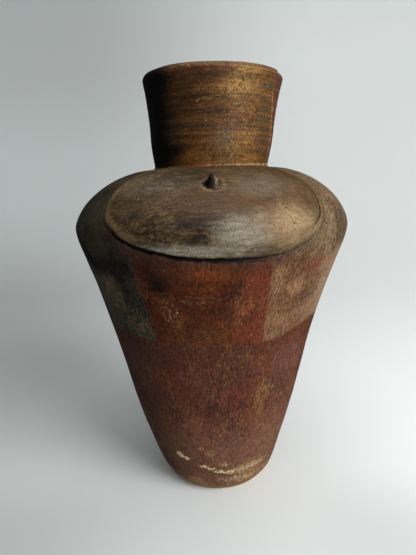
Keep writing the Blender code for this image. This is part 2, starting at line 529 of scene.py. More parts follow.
@dataclass
class Clay:
    """The jar's clay: one closed mesh with the pad, the nub, the rim's wear and the marks of the hand."""

    form: JarForm = field(default_factory=JarForm)
    around: int = 288
    detail_reach: tuple = (0.0045, 0.0026, 0.0013)
    nub_reach: tuple = (0.0085, 0.0068, 0.0)
    chip_reach: tuple = (0.0060, 0.0030, 0.0)
    even_foot: float = 0.006
    disc_corners: int = 20

    def __post_init__(self) -> None:
        """Prepare the parts of the relief."""
        self.section = Section(self.form)
        self.pad = Pad(self.form)
        self.nub = Nub(self.form)
        self.nub_base = self.nub.base()
        self.hand = HandWork()
        self.rim = Rim(self.form)

    def spun(self) -> bmesh.types.BMesh:
        """Spin the section once around the upright axis.

        Returns:
            A closed mesh whose vertices carry their place along the section.
        """
        bm = bmesh.new()
        course = bm.verts.layers.float.new("course")
        chain = []
        for index, point in enumerate(self.section.points):
            vert = bm.verts.new((0.0, -point.x, point.y))
            vert[course] = float(index)
            chain.append(vert)
        edges = [bm.edges.new(pair) for pair in zip(chain, chain[1:])]
        bmesh.ops.spin(
            bm, geom=chain + edges, cent=(0.0, 0.0, 0.0), axis=(0.0, 0.0, 1.0),
            angle=math.tau, steps=self.around, use_merge=True,
        )
        bmesh.ops.remove_doubles(bm, verts=bm.verts, dist=WELD)
        rims = [edge for edge in bm.edges if edge.is_boundary]
        bmesh.ops.holes_fill(bm, edges=rims, sides=0)
        bmesh.ops.recalc_face_normals(bm, faces=bm.faces)
        return bm

    def reach_of_detail(self, place: Vector, level: int) -> bool:
        """Whether a place is near enough to fine relief to be divided once more.

        Args:
            place: A place on the upright form.
            level: How often the mesh has been divided so far.

        Returns:
            True where it is.
        """
        if place.z < self.form.joint_height and abs(self.pad.inset(place)) < self.detail_reach[level]:
            return True
        if (place - self.nub_base).length < self.nub_reach[level]:
            return True
        if place.z < self.form.lip_height - 2.0 * MM:
            return False
        turn = math.atan2(place.x, -place.y)
        away = abs(turn - self.rim.chip_start) * self.form.lip_radius
        return away < self.chip_reach[level]

    def divide(self, bm: bmesh.types.BMesh) -> None:
        """Divide the mesh in bands along the pad's edge, on the nub and at the chip.

        Args:
            bm: The spun mesh, changed in place.
        """
        course = bm.verts.layers.float["course"]
        last = self.section.zones.index(Zone.INSIDE)
        for level in range(len(self.detail_reach)):
            outside = [vert for vert in bm.verts if vert[course] < last]
            near = {vert for vert in outside if self.reach_of_detail(vert.co, level)}
            edges = [edge for edge in bm.edges if edge.verts[0] in near and edge.verts[1] in near]
            bmesh.ops.subdivide_edges(bm, edges=edges, cuts=1, use_grid_fill=True)

    def on_section(self, course: float, turn: float) -> tuple[Vector, Vector]:
        """Exact place and outward normal for a place along the section.

        Args:
            course: Index along the section, with a fraction between two points.
            turn: Angle around the axis from the front, in radians.

        Returns:
            The place and the normal on the upright form.
        """
        points = self.section.points
        index = min(int(course), len(points) - 2)
        share = course - index
        along = points[index + 1] - points[index]
        point = points[index].lerp(points[index + 1], share)
        before = points[index] - points[max(index - 1, 0)]
        after = points[min(index + 2, len(points) - 1)] - points[index + 1]
        start = (before.normalized() + along.normalized()).normalized()
        end = (after.normalized() + along.normalized()).normalized()
        course_way = start.lerp(end, share).normalized()
        bow = share * (1.0 - share) * along.length * 0.5 * start.angle_signed(end, 0.0)
        point = point + Vector((along.y, -along.x)).normalized() * bow
        spoke = Vector((math.sin(turn), -math.cos(turn), 0.0))
        place = spoke * point.x + Vector((0.0, 0.0, point.y))
        normal = spoke * course_way.y + Vector((0.0, 0.0, -course_way.x))
        return place, normal

    def build(self) -> bpy.types.Object:
        """Make the clay's object with its relief, its attributes and its zones.

        Returns:
            The object, at the origin.
        """
        bm = self.spun()
        self.divide(bm)
        course = bm.verts.layers.float["course"]
        first_neck = self.section.zones.index(Zone.NECK)
        first_inside = self.section.zones.index(Zone.INSIDE)
        forms, insets = [], []
        for vert in bm.verts:
            turn = math.atan2(vert.co.x, -vert.co.y)
            place, normal = self.on_section(vert[course], turn)
            inset = self.pad.inset(place) if vert[course] < first_neck else OFF_THE_PAD
            lift = self.hand.height(place) * smooth(place.z, 0.0, self.even_foot)
            if vert[course] < first_inside:
                lift += self.pad.height(place, inset)
                lift += self.nub.height((place - self.nub_base).length)
            moved = place + normal * lift - Vector((0.0, 0.0, self.rim.drop(place)))
            vert.co = self.form.settle(moved)
            forms += place[:]
            insets.append(inset)
        for face in bm.faces:
            reach = [vert[course] for vert in face.verts]
            middle = sum(reach) / len(reach)
            outside = self.section.zones[min(int(middle), len(self.section.zones) - 1)]
            face.material_index = outside.value
            face.smooth = True
        flat = [face for face in bm.faces if len(face.verts) > self.disc_corners]
        for face in flat:
            face.smooth = False
            face.material_index = Zone.INSIDE.value
        bmesh.ops.triangulate(bm, faces=flat)
        mesh = bpy.data.meshes.new("jar_clay")
        bm.to_mesh(mesh)
        bm.free()
        mesh.attributes.new("form", "FLOAT_VECTOR", "POINT").data.foreach_set("vector", forms)
        mesh.attributes.new("pad_inset", "FLOAT", "POINT").data.foreach_set("value", insets)
        clay = bpy.data.objects.new("jar_clay", mesh)
        bpy.context.scene.collection.objects.link(clay)
        return clay


def paint(red: int, green: int, blue: int) -> Colour:
    """Linear colour of a slip that looks like these display values, 0 to 255."""
    shares = [value / 255.0 for value in (red, green, blue)]
    return tuple(share / 12.92 if share < 0.04045 else ((share + 0.055) / 1.055) ** 2.4 for share in shares)


class Nodes:
    """Short ways to place and join shader nodes in one tree."""

    def __init__(self, tree: bpy.types.NodeTree) -> None:
        """Work on a tree."""
        self.tree = tree

    def add(self, kind: str, **settings: object) -> bpy.types.Node:
        """Place a node and set its settings.

        Args:
            kind: The node's type.
            settings: Values of its settings, by name.

        Returns:
            The node.
        """
        node = self.tree.nodes.new(kind)
        for name, value in settings.items():
            setattr(node, name, value)
        return node

    def feed(self, socket: Socket, value: Value | tuple | None) -> None:
        """Join a socket to another, or set its own value.

        Args:
            socket: An input.
            value: What goes in; None leaves the input as it is.
        """
        if isinstance(value, bpy.types.NodeSocket):
            self.tree.links.new(value, socket)
        elif value is not None:
            if isinstance(value, tuple) and len(value) == 3 and socket.type == "RGBA":
                value = (*value, 1.0)
            socket.default_value = value

    def math(
        self, operation: str, first: Value, second: Value | None = None, third: Value | None = None,
    ) -> Socket:
        """Result of a Math node on sockets or numbers.

        Args:
            operation: The node's operation.
            first: Its first input.
            second: Its second input, if any.
            third: Its third input, if any.

        Returns:
            The result.
        """
        node = self.add("ShaderNodeMath", operation=operation)
        for socket, value in zip(node.inputs, (first, second, third)):
            self.feed(socket, value)
        return node.outputs[0]

    def times(self, first: Value, second: Value) -> Socket:
        """Product of two sockets or numbers."""
        return self.math("MULTIPLY", first, second)

    def ramp(self, value: Value, low: Value, high: Value, start: float = 0.0, end: float = 1.0) -> Socket:
        """Smooth step of a value from low to high, mapped onto start to end.

        Args:
            value: The value.
            low: Where the step begins, which may lie above high.
            high: Where the step ends.
            start: The result at low and beyond it.
            end: The result at high and beyond it.

        Returns:
            The result.
        """
        node = self.add("ShaderNodeMapRange", interpolation_type="SMOOTHSTEP")
        names = ("Value", "From Min", "From Max", "To Min", "To Max")
        for name, given in zip(names, (value, low, high, start, end)):
            self.feed(node.inputs[name], given)
        return node.outputs[0]

    def mix(self, share: Value, first: Tint, second: Tint | float, kind: str = "MIX") -> Socket:
        """Colour mixed from two by a share.

        Args:
            share: 0 for the first, 1 for the second.
            first: The first colour.
            second: The second colour.
            kind: How the second acts on the first.

        Returns:
            The mixed colour.
        """
        node = self.add("ShaderNodeMix", data_type="RGBA", blend_type=kind)
        self.feed(node.inputs[0], share)
        self.feed(node.inputs[MIX_FIRST], first)
        self.feed(node.inputs[MIX_SECOND], second)
        return node.outputs[MIX_RESULT]

    def noise(self, vector: Socket, scale: Value, detail: Value = 3.0, roughness: Value = 0.55) -> Socket:
        """Value of a Noise Texture, its settings given as sockets or numbers.

        Args:
            vector: The place.
            scale: Waves to a metre.
            detail: How many finer octaves are added.
            roughness: How strong those octaves are.

        Returns:
            The value, mostly between 0.3 and 0.7.
        """
        node = self.add("ShaderNodeTexNoise")
        self.feed(node.inputs["Vector"], vector)
        self.feed(node.inputs["Scale"], scale)
        self.feed(node.inputs["Detail"], detail)
        self.feed(node.inputs["Roughness"], roughness)
        return node.outputs[0]

    def use(self, group: bpy.types.NodeTree, **values: Value | tuple) -> bpy.types.Node:
        """Place a node group; underscores in the names of values stand for spaces.

        Args:
            group: The group.
            values: What its inputs get, by name.

        Returns:
            The group's node.
        """
        node = self.add("ShaderNodeGroup", node_tree=group)
        for name, value in values.items():
            self.feed(node.inputs[name.replace("_", " ")], value)
        return node


class Effects:
    """Node groups that several finishes share, each built once."""

    def __init__(self) -> None:
        """Build every group."""
        self.wrapped = self.build_wrapped()
        self.mottle = self.build_mottle()
        self.clouded = self.build_clouded()
        self.patch = self.build_patch()
        self.specks = self.build_specks()
        self.line = self.build_line()
        self.strokes = self.build_strokes()

    @staticmethod
    def start(name: str, inputs: dict, outputs: dict) -> tuple[Nodes, bpy.types.Node, bpy.types.Node]:
        """Open a group with named sockets.

        Args:
            name: The group's name.
            inputs: Socket types with default values, by name.
            outputs: Socket types by name.

        Returns:
            The tree's nodes, its input node and its output node.
        """
        tree = bpy.data.node_groups.new(name, "ShaderNodeTree")
        for socket_name, (kind, default) in inputs.items():
            socket = tree.interface.new_socket(socket_name, in_out="INPUT", socket_type=kind)
            if default is not None:
                socket.default_value = default
        for socket_name, kind in outputs.items():
            tree.interface.new_socket(socket_name, in_out="OUTPUT", socket_type=kind)
        nodes = Nodes(tree)
        return nodes, nodes.add("NodeGroupInput"), nodes.add("NodeGroupOutput")

    def build_wrapped(self) -> bpy.types.NodeTree:
        """Group for the place on the upright form, with its turn in degrees and its height in mm.

        Returns:
            The group.
        """
        outputs = {"Place": "NodeSocketVector", "Turn": "NodeSocketFloat", "Height": "NodeSocketFloat"}
        nodes, _entry, leave = self.start("place on the form", {}, outputs)
        place = nodes.add("ShaderNodeAttribute", attribute_name="form").outputs["Vector"]
        parts = nodes.add("ShaderNodeSeparateXYZ")
        nodes.feed(parts.inputs[0], place)
        front = nodes.times(parts.outputs[1], -1.0)
        turn = nodes.math("ARCTAN2", parts.outputs[0], front)
        nodes.feed(leave.inputs["Place"], place)
        nodes.feed(leave.inputs["Turn"], nodes.math("DEGREES", turn))
        nodes.feed(leave.inputs["Height"], nodes.times(parts.outputs[2], 1.0 / MM))
        return nodes.tree

    def build_mottle(self) -> bpy.types.NodeTree:
        """Group for cloudy patches: noise cut softly between two levels.

        Returns:
            The group.
        """
        number = "NodeSocketFloat"
        inputs = {
            "Place": ("NodeSocketVector", None), "Scale": (number, 60.0), "Detail": (number, 4.0),
            "Low": (number, 0.45), "High": (number, 0.60),
        }
        nodes, entry, leave = self.start("mottle", inputs, {"Mask": number})
        put = entry.outputs
        cloud = nodes.noise(put["Place"], put["Scale"], put["Detail"], 0.62)
        nodes.feed(leave.inputs["Mask"], nodes.ramp(cloud, put["Low"], put["High"]))
        return nodes.tree

    def build_clouded(self) -> bpy.types.NodeTree:
        """Group for grains that gather in clouds, as worn slip and settled dirt do.

        Returns:
            The group.
        """
        number = "NodeSocketFloat"
        inputs = {
            "Place": ("NodeSocketVector", None), "Stretch": ("NodeSocketVector", (1.0, 1.0, 1.0)),
            "Shift": ("NodeSocketVector", (0.0, 0.0, 0.0)), "Cloud": (number, 40.0),
            "Grain": (number, 600.0), "Amount": (number, 0.0), "Soft": (number, 0.09),
            "Gather": (number, 1.0),
        }
        nodes, entry, leave = self.start("clouded grains", inputs, {"Mask": number})
        put = entry.outputs
        mapping = nodes.add("ShaderNodeMapping")
        nodes.feed(mapping.inputs["Vector"], put["Place"])
        nodes.feed(mapping.inputs["Location"], put["Shift"])
        nodes.feed(mapping.inputs["Scale"], put["Stretch"])
        cloud = nodes.noise(mapping.outputs[0], put["Cloud"], 5.0, 0.62)
        grain = nodes.noise(mapping.outputs[0], put["Grain"], 4.0, 0.72)
        gathered = nodes.math("MULTIPLY_ADD", nodes.math("SUBTRACT", cloud, 0.5), put["Gather"], grain)
        level = nodes.math("ADD", gathered, put["Amount"])
        low = nodes.math("SUBTRACT", 0.58, put["Soft"])
        high = nodes.math("ADD", 0.58, put["Soft"])
        nodes.feed(leave.inputs["Mask"], nodes.ramp(level, low, high))
        return nodes.tree

    def build_patch(self) -> bpy.types.NodeTree:
        """Group for one ragged patch at a turn and a height, with soft or hard edges.

        Returns:
            The group.
        """
        number = "NodeSocketFloat"
        inputs = {
            "Place": ("NodeSocketVector", None), "Turn": (number, 0.0), "Height": (number, 0.0),
            "At Turn": (number, 0.0), "At Height": (number, 0.0), "Half Turn": (number, 10.0),
            "Half Height": (number, 10.0), "Soft": (number, 0.3), "Ragged": (number, 0.6),
            "Scale": (number, 90.0),
        }
        nodes, entry, leave = self.start("ragged patch", inputs, {"Mask": number})
        put = entry.outputs
        side = nodes.math("DIVIDE", nodes.math("SUBTRACT", put["Turn"], put["At Turn"]), put["Half Turn"])
        up = nodes.math("DIVIDE", nodes.math("SUBTRACT", put["Height"], put["At Height"]), put["Half Height"])
        far = nodes.math("SQRT", nodes.math("MULTIPLY_ADD", side, side, nodes.times(up, up)))
        cloud = nodes.noise(put["Place"], put["Scale"], 4.0, 0.65)
        wander = nodes.times(nodes.math("SUBTRACT", cloud, 0.5), put["Ragged"])
        edge = nodes.math("MULTIPLY_ADD", wander, 2.0, far)
        low = nodes.math("ADD", 1.0, put["Soft"])
        high = nodes.math("SUBTRACT", 1.0, put["Soft"])
        nodes.feed(leave.inputs["Mask"], nodes.ramp(edge, low, high))
        return nodes.tree

    def build_specks(self) -> bpy.types.NodeTree:
        """Group for scattered specks: the middles of some cells of a Voronoi pattern.

        Returns:
            The group.
        """
        number = "NodeSocketFloat"
        inputs = {
            "Place": ("NodeSocketVector", None), "Scale": (number, 300.0), "Size": (number, 0.25),
            "Amount": (number, 0.3),
        }
        nodes, entry, leave = self.start("specks", inputs, {"Mask": number})
        cells = nodes.add("ShaderNodeTexVoronoi")
        nodes.feed(cells.inputs["Vector"], entry.outputs["Place"])
        nodes.feed(cells.inputs["Scale"], entry.outputs["Scale"])
        parts = nodes.add("ShaderNodeSeparateColor")
        nodes.feed(parts.inputs[0], cells.outputs["Color"])
        chosen = nodes.math("LESS_THAN", parts.outputs[0], entry.outputs["Amount"])
        size = nodes.times(entry.outputs["Size"], nodes.math("ADD", 0.4, parts.outputs[1]))
        inside = nodes.ramp(cells.outputs["Distance"], size, nodes.times(size, 0.5))
        nodes.feed(leave.inputs["Mask"], nodes.times(chosen, inside))
        return nodes.tree

    def build_line(self) -> bpy.types.NodeTree:
        """Group for a painted or cut line: one value near another, with a wandering, worn edge.

        Returns:
            The group.
        """
        number = "NodeSocketFloat"
        inputs = {
            "Place": ("NodeSocketVector", None), "Value": (number, 0.0), "At": (number, 0.0),
            "Half Width": (number, 1.0), "Soft": (number, 0.5), "Wander": (number, 1.0),
            "Scale": (number, 60.0),
        }
        nodes, entry, leave = self.start("painted line", inputs, {"Mask": number})
        put = entry.outputs
        cloud = nodes.noise(put["Place"], put["Scale"], 3.0, 0.55)
        sway = nodes.times(nodes.math("SUBTRACT", cloud, 0.5), put["Wander"])
        off = nodes.math("ABSOLUTE", nodes.math("ADD", nodes.math("SUBTRACT", put["Value"], put["At"]), sway))
        low = nodes.math("ADD", put["Half Width"], put["Soft"])
        high = nodes.math("SUBTRACT", put["Half Width"], put["Soft"])
        nodes.feed(leave.inputs["Mask"], nodes.ramp(off, low, high))
        return nodes.tree

    def build_strokes(self) -> bpy.types.NodeTree:
        """Group for the long soft strokes of a burnishing stone, drawn along one way of the place.

        Returns:
            The group.
        """
        number = "NodeSocketFloat"
        inputs = {"Place": ("NodeSocketVector", None), "Stretch": ("NodeSocketVector", (1.0, 1.0, 1.0))}
        nodes, entry, leave = self.start("burnish strokes", inputs, {"Height": number})
        mapping = nodes.add("ShaderNodeMapping")
        nodes.feed(mapping.inputs["Vector"], entry.outputs["Place"])
        nodes.feed(mapping.inputs["Scale"], entry.outputs["Stretch"])
        nodes.feed(leave.inputs["Height"], nodes.noise(mapping.outputs[0], 1.0, 3.0, 0.6))
        return nodes.tree


@dataclass(frozen=True)
class Slip:
    """One painted clay: its own colour, what dirt makes of it and what shows where it is rubbed."""

    base: Colour
    dirty: Colour
    rubbed: Colour
    dirt: float = 0.8
    rub: float = 0.6


@dataclass(frozen=True)
class Spot:
    """One mark on the surface: its turn in degrees, its height in mm, its reach and how strongly it shows."""

    turn: float
    height: float
    half_turn: float
    half_height: float
    strength: float = 0.8
    soft: float = 0.4
    ragged: float = 0.6
    scale: float = 90.0


class Ground:
    """The nodes of one material, with the place on the form and ways to lay slips and marks on it."""

    def __init__(self, nodes: Nodes, effects: Effects) -> None:
        """Read the place on the form once for the whole material.

        Args:
            nodes: The material's nodes.
            effects: The shared groups.
        """
        self.nodes = nodes
        self.effects = effects
        at = nodes.use(effects.wrapped)
        self.place = at.outputs["Place"]
        self.turn = at.outputs["Turn"]
        self.height = at.outputs["Height"]

    def clouded(
        self, stretch: tuple, shift: tuple, cloud: float, grain: float,
        amount: float = 0.0, gather: float = 1.0,
    ) -> Socket:
        """Mask of grains gathered in clouds.

        Args:
            stretch: Scale of the place on each axis, small along the strokes.
            shift: Move of the place, so that two masks differ.
            cloud: Scale of the clouds.
            grain: Scale of the grains.
            amount: Above 0 for more of it, below 0 for less.
            gather: 0 for even grain, above 1 for grains that gather strongly.

        Returns:
            The mask.
        """
        group = self.nodes.use(
            self.effects.clouded, Place=self.place, Stretch=stretch, Shift=shift,
            Cloud=cloud, Grain=grain, Amount=amount, Gather=gather,
        )
        return group.outputs[0]

    def mottled(self, scale: float, low: float, high: float, detail: float = 5.0) -> Socket:
        """Mask of soft cloudy patches.

        Args:
            scale: Scale of the patches.
            low: Level of the noise that gives 0.
            high: Level of the noise that gives 1.
            detail: How many finer octaves ragged edges get.

        Returns:
            The mask.
        """
        group = self.nodes.use(
            self.effects.mottle, Place=self.place, Scale=scale, Detail=detail, Low=low, High=high,
        )
        return group.outputs[0]

    def strokes(self, stretch: tuple) -> Socket:
        """Height of the burnishing strokes, stretched by a scale on each axis."""
        return self.nodes.use(self.effects.strokes, Place=self.place, Stretch=stretch).outputs[0]

    def specks(self, scale: float, size: float, amount: float) -> Socket:
        """Mask of scattered specks.

        Args:
            scale: Cells to a metre.
            size: Size of a speck as a share of its cell.
            amount: Share of the cells that hold one.

        Returns:
            The mask.
        """
        group = self.nodes.use(self.effects.specks, Place=self.place, Scale=scale, Size=size, Amount=amount)
        return group.outputs[0]

    def grain(self) -> Socket:
        """Fine even grain of burnished clay."""
        return self.nodes.noise(self.place, 1100.0, 3.0, 0.75)

    def swayed(self, value: Socket, scale: float, reach: float, detail: float = 4.0) -> Socket:
        """A value moved up and down by noise, so that a border made from it wanders.

        Args:
            value: The value.
            scale: Scale of the noise.
            reach: How far the noise can move it.
            detail: How many finer octaves the noise has.

        Returns:
            The moved value.
        """
        nodes = self.nodes
        cloud = nodes.math("SUBTRACT", nodes.noise(self.place, scale, detail, 0.62), 0.5)
        return nodes.math("MULTIPLY_ADD", cloud, reach, value)

    def between(self, first: float, last: float, soft: float = 4.0) -> Socket:
        """Mask of a range of turns in degrees, with soft ends.

        Args:
            first: Where the range starts.
            last: Where it ends.
            soft: Half the width of each soft end.

        Returns:
            The mask.
        """
        nodes = self.nodes
        start = nodes.ramp(self.turn, first - soft, first + soft)
        return nodes.times(start, nodes.ramp(self.turn, last + soft, last - soft))

    def slip(self, slip: Slip, dirt: Socket, rub: Socket) -> Socket:
        """Colour of a slip with its dirt and its rubbed grain.

        Args:
            slip: The slip.
            dirt: Mask of the dirt.
            rub: Mask of the rubbed grain.

        Returns:
            The colour.
        """
        nodes = self.nodes
        colour = nodes.mix(nodes.times(dirt, slip.dirt), slip.base, slip.dirty)
        return nodes.mix(nodes.times(rub, slip.rub), colour, slip.rubbed)

    def spots(self, colour: Socket, tint: Colour, spots: tuple, grain: Socket | None = None) -> Socket:
        """Lay marks of one tint over a colour.

        Args:
            colour: The colour so far.
            tint: The marks' colour.
            spots: The marks.
            grain: A mask that breaks the marks up, if any.

        Returns:
            The new colour.
        """
        nodes = self.nodes
        for spot in spots:
            mask = nodes.use(
                self.effects.patch, Place=self.place, Turn=self.turn, Height=self.height,
                At_Turn=spot.turn, At_Height=spot.height, Half_Turn=spot.half_turn,
                Half_Height=spot.half_height, Soft=spot.soft, Ragged=spot.ragged, Scale=spot.scale,
            ).outputs[0]
            share = nodes.times(mask, spot.strength)
            if grain is not None:
                share = nodes.times(share, grain)
            colour = nodes.mix(share, colour, tint)
        return colour

    def line(
        self, value: Socket, at: float, half_width: Value, soft: float, wander: float, scale: float = 60.0,
    ) -> Socket:
        """Mask of a line where a value is near another.

        Args:
            value: The value.
            at: The value on the line's middle.
            half_width: Half the line's width.
            soft: Half the width of its soft edges.
            wander: How far its middle strays.
            scale: Scale of the noise that leads it astray.

        Returns:
            The mask.
        """
        group = self.nodes.use(
            self.effects.line, Place=self.place, Value=value, At=at, Half_Width=half_width,
            Soft=soft, Wander=wander, Scale=scale,
        )
        return group.outputs[0]

    def shaded(self, colour: Socket, value: Socket, low: float, high: float, depth: Value) -> Socket:
        """Colour darkened where a value is low and lightened where it is high.

        Args:
            colour: The colour.
            value: The value.
            low: The value that darkens most.
            high: The value that lightens most.
            depth: The greatest change, as a share of the colour.

        Returns:
            The new colour.
        """
        nodes = self.nodes
        swing = nodes.ramp(value, low, high, -1.0, 1.0)
        return nodes.mix(1.0, colour, nodes.math("MULTIPLY_ADD", swing, depth, 1.0), "MULTIPLY")


@dataclass(frozen=True)
class Finish:
    """What every finish of the jar shares: its name, its gloss, and how its nodes join the shader."""

    name: str
    effects: Effects
    gloss: float = 0.40
    dull: float = 0.66
    shine: float = 0.26

    def open(self) -> tuple[bpy.types.Material, Nodes, bpy.types.Node]:
        """Start the material.

        Returns:
            The material, its nodes and its Principled shader.
        """
        material = bpy.data.materials.new(self.name)
        material.use_nodes = True
        shader = material.node_tree.nodes["Principled BSDF"]
        shader.inputs["Metallic"].default_value = 0.0
        shader.inputs["Specular IOR Level"].default_value = self.shine
        return material, Nodes(material.node_tree), shader

    def close(
        self, nodes: Nodes, shader: bpy.types.Node, colour: Socket, wear: Socket, relief: Socket,
    ) -> None:
        """Join the colour, the gloss and the relief to the shader.

        Args:
            nodes: The material's nodes.
            shader: Its Principled shader.
            colour: The painted colour.
            wear: 0 where the burnish is whole, 1 where it is worn dull.
            relief: Height of the fine relief, in metres.
        """
        nodes.feed(shader.inputs["Base Color"], colour)
        nodes.feed(shader.inputs["Roughness"], nodes.ramp(wear, 0.0, 1.0, self.gloss, self.dull))
        bump = nodes.add("ShaderNodeBump")
        bump.inputs["Distance"].default_value = 1.0
        nodes.feed(bump.inputs["Height"], relief)
        nodes.feed(shader.inputs["Normal"], bump.outputs[0])


@dataclass(frozen=True)
class BodyFinish(Finish):
    """The painted body: panels under the shoulder, red slip below, the pad, and bare clay at the foot."""

    nub_at: tuple = (0.0, 0.0, 0.0)

    # Borders between the slips: heights and insets in mm, turns in degrees
    belt: tuple = (132.6, 134.8)
    shoulder_edge: tuple = (184.0, 194.0)
    left_edge: tuple = (-25.8, -29.0)
    right_edge: tuple = (22.0, 23.2)
    panel_middle: float = 160.0
    panel_lean: float = 0.045
    pad_edge: tuple = (-0.3, 0.1)

    # Fine relief, in metres
    stroke_depth: float = 0.00010
    grain_depth: float = 0.00014
    pit_depth: float = 0.00022

    # Slips and tints
    front: Slip = Slip(paint(74, 29, 4), paint(36, 17, 5), paint(102, 54, 13), 0.8, 0.7)
    front_red: Slip = Slip(paint(100, 44, 22), paint(58, 28, 14), paint(124, 74, 36), 0.7, 0.6)
    left: Slip = Slip(paint(64, 58, 46), paint(22, 21, 18), paint(104, 82, 52), 0.9, 0.6)
    right: Slip = Slip(paint(100, 67, 43), paint(66, 43, 26), paint(126, 95, 66), 0.75, 0.7)
    lower: Slip = Slip(paint(90, 46, 31), paint(52, 30, 22), paint(118, 88, 48), 0.7, 0.65)
    shoulder: Slip = Slip(paint(105, 84, 58), paint(56, 43, 27), paint(136, 113, 83), 0.8, 0.65)
    shoulder_left: Slip = Slip(paint(56, 48, 33), paint(22, 19, 14), paint(88, 72, 46), 0.9, 0.6)
    pad: Slip = Slip(paint(76, 57, 34), paint(36, 27, 17), paint(118, 94, 60), 0.8, 0.7)
    purple: Colour = paint(104, 62, 52)
    red: Colour = paint(104, 44, 30)
    # Pale red of the lower body, also painted light on its right side
    pale_red_and_painted_light: Colour = paint(134, 98, 78)
    lower_top: Colour = paint(76, 36, 18)
    # Dark of the painted shade on the left of the lower body
    painted_shade_red: Colour = paint(38, 28, 22)
    orange: Colour = paint(112, 54, 10)
    front_low: Colour = paint(88, 46, 20)
    tan: Colour = paint(146, 110, 74)
    worn_tan: Colour = paint(150, 122, 94)
    pad_tan: Colour = paint(162, 132, 94)
    pad_warm: Colour = paint(84, 56, 32)
    # Grey of the burnished pad, also used as painted highlight and painted glints on the pad's lower middle
    pad_grey_and_highlight: Colour = paint(134, 128, 112)
    pad_shade: Colour = paint(52, 40, 26)
    soot: Colour = paint(18, 16, 13)
    # Near black of the groove round the pad, which is partly painted shade, and of the cut line
    groove: Colour = paint(12, 9, 7)
    # Dark red of the painted shadow under the pad's lower edge
    painted_shadow_red: Colour = paint(58, 30, 20)
    nub: Colour = paint(11, 10, 9)
    bare: Colour = paint(152, 118, 76)
    cream: Colour = paint(206, 184, 138)
    # Pale bottom edge of the foot, partly painted highlight
    foot_edge_and_highlight: Colour = paint(196, 162, 106)

    # Marks
    soot_spots: tuple = (
        Spot(-20.5, 172.5, 4.0, 4.5, 0.8, 0.6, 1.2, 160.0), Spot(-17.0, 180.0, 9.0, 8.0, 0.45, 0.6, 1.0),
        Spot(14.5, 152.0, 3.0, 3.0, 0.35, 0.6, 1.2, 160.0),
        Spot(-8.0, 146.0, 4.0, 4.0, 0.3, 0.6, 1.2, 160.0),
        Spot(10.0, 172.0, 3.0, 5.0, 0.35, 0.6, 1.2, 160.0),
        Spot(-22.0, 143.0, 5.0, 8.0, 0.35, 0.6, 1.2, 160.0),
    )
    left_soot: tuple = (Spot(-46.0, 184.0, 18.0, 10.0, 0.8), Spot(-34.0, 170.0, 7.0, 14.0, 0.45))
    left_rubbed: tuple = (Spot(-47.0, 164.0, 7.0, 13.0, 0.6), Spot(-35.0, 143.0, 7.0, 7.0, 0.55))
    orange_spots: tuple = (Spot(-5.0, 184.0, 11.0, 5.5, 0.85, 0.6), Spot(8.0, 181.0, 8.0, 5.0, 0.35, 0.6))
    pale_front: tuple = (Spot(-16.5, 155.0, 4.0, 11.0, 0.8), Spot(-4.0, 165.0, 7.0, 3.0, 0.4))
    tan_spots: tuple = (
        Spot(35.5, 169.0, 4.5, 5.5, 0.55, 0.5, 0.9), Spot(24.8, 176.0, 2.2, 9.0, 0.25, 0.6),
        Spot(45.0, 152.0, 6.0, 5.0, 0.3, 0.7), Spot(31.0, 145.0, 10.0, 8.0, 0.3, 0.9, 0.9),
    )
    red_spots: tuple = (
        Spot(46.0, 182.0, 7.0, 7.0, 0.4, 0.6), Spot(-22.0, 108.0, 10.0, 12.0, 0.4, 0.9),
        Spot(18.0, 92.0, 9.0, 14.0, 0.2, 0.9), Spot(-8.0, 60.0, 12.0, 14.0, 0.4, 0.9),
        Spot(-35.0, 55.0, 12.0, 10.0, 0.35, 0.9), Spot(4.0, 36.0, 14.0, 8.0, 0.4, 0.9),
    )
    purple_spots: tuple = (
        Spot(48.0, 116.0, 18.0, 15.0, 0.7, 0.6), Spot(-50.0, 116.0, 16.0, 12.0, 0.5, 0.6),
    )
    pad_soot: tuple = (
        Spot(-24.0, 206.0, 10.0, 5.0, 0.62, 0.8), Spot(-13.0, 203.0, 10.0, 5.0, 0.76, 0.8),
        Spot(-10.0, 210.0, 10.0, 4.0, 0.55, 0.8), Spot(-3.5, 204.0, 5.0, 5.0, 0.7, 0.8),
        Spot(-24.0, 213.0, 10.0, 4.0, 0.45, 0.8), Spot(17.0, 195.5, 8.0, 2.4, 0.5, 0.6),
        Spot(-34.0, 208.0, 4.0, 6.0, 0.45, 0.8), Spot(-27.0, 198.5, 6.0, 3.0, 0.3, 0.7),
    )
    nub_specks: tuple = (
        Spot(1.4, 230.5, 0.6, 0.7, 0.30, 0.5, 1.8, 900.0),
        Spot(2.4, 227.3, 0.7, 0.7, 0.45, 0.5, 1.8, 900.0),
    )
    pad_pits: tuple = (
        Spot(26.4, 217.2, 0.5, 0.4, 0.6, 0.4, 1.0, 700.0),
        Spot(28.2, 216.6, 0.5, 0.4, 0.6, 0.4, 1.0, 700.0),
        Spot(27.2, 214.8, 0.6, 0.4, 0.6, 0.4, 1.0, 700.0),
        Spot(29.2, 213.6, 0.5, 0.4, 0.5, 0.4, 1.0, 700.0),
        Spot(15.5, 213.5, 0.6, 0.5, 0.7, 0.3, 1.0, 700.0),
        Spot(13.0, 196.0, 0.6, 0.4, 0.5, 0.3, 1.0, 700.0),
    )
    pad_shade_spots: tuple = (
        Spot(-2.0, 214.0, 10.0, 9.0, 0.65, 0.9, 0.9), Spot(-32.0, 214.0, 8.0, 9.0, 0.10, 0.9, 0.9),
    )
    pad_tan_spots: tuple = (
        Spot(24.0, 206.0, 9.0, 8.0, 0.42, 0.9, 0.9), Spot(32.0, 210.0, 7.0, 8.0, 0.36, 0.9, 0.9),
        Spot(-33.0, 199.0, 6.0, 2.5, 0.4, 0.8, 0.9),
    )
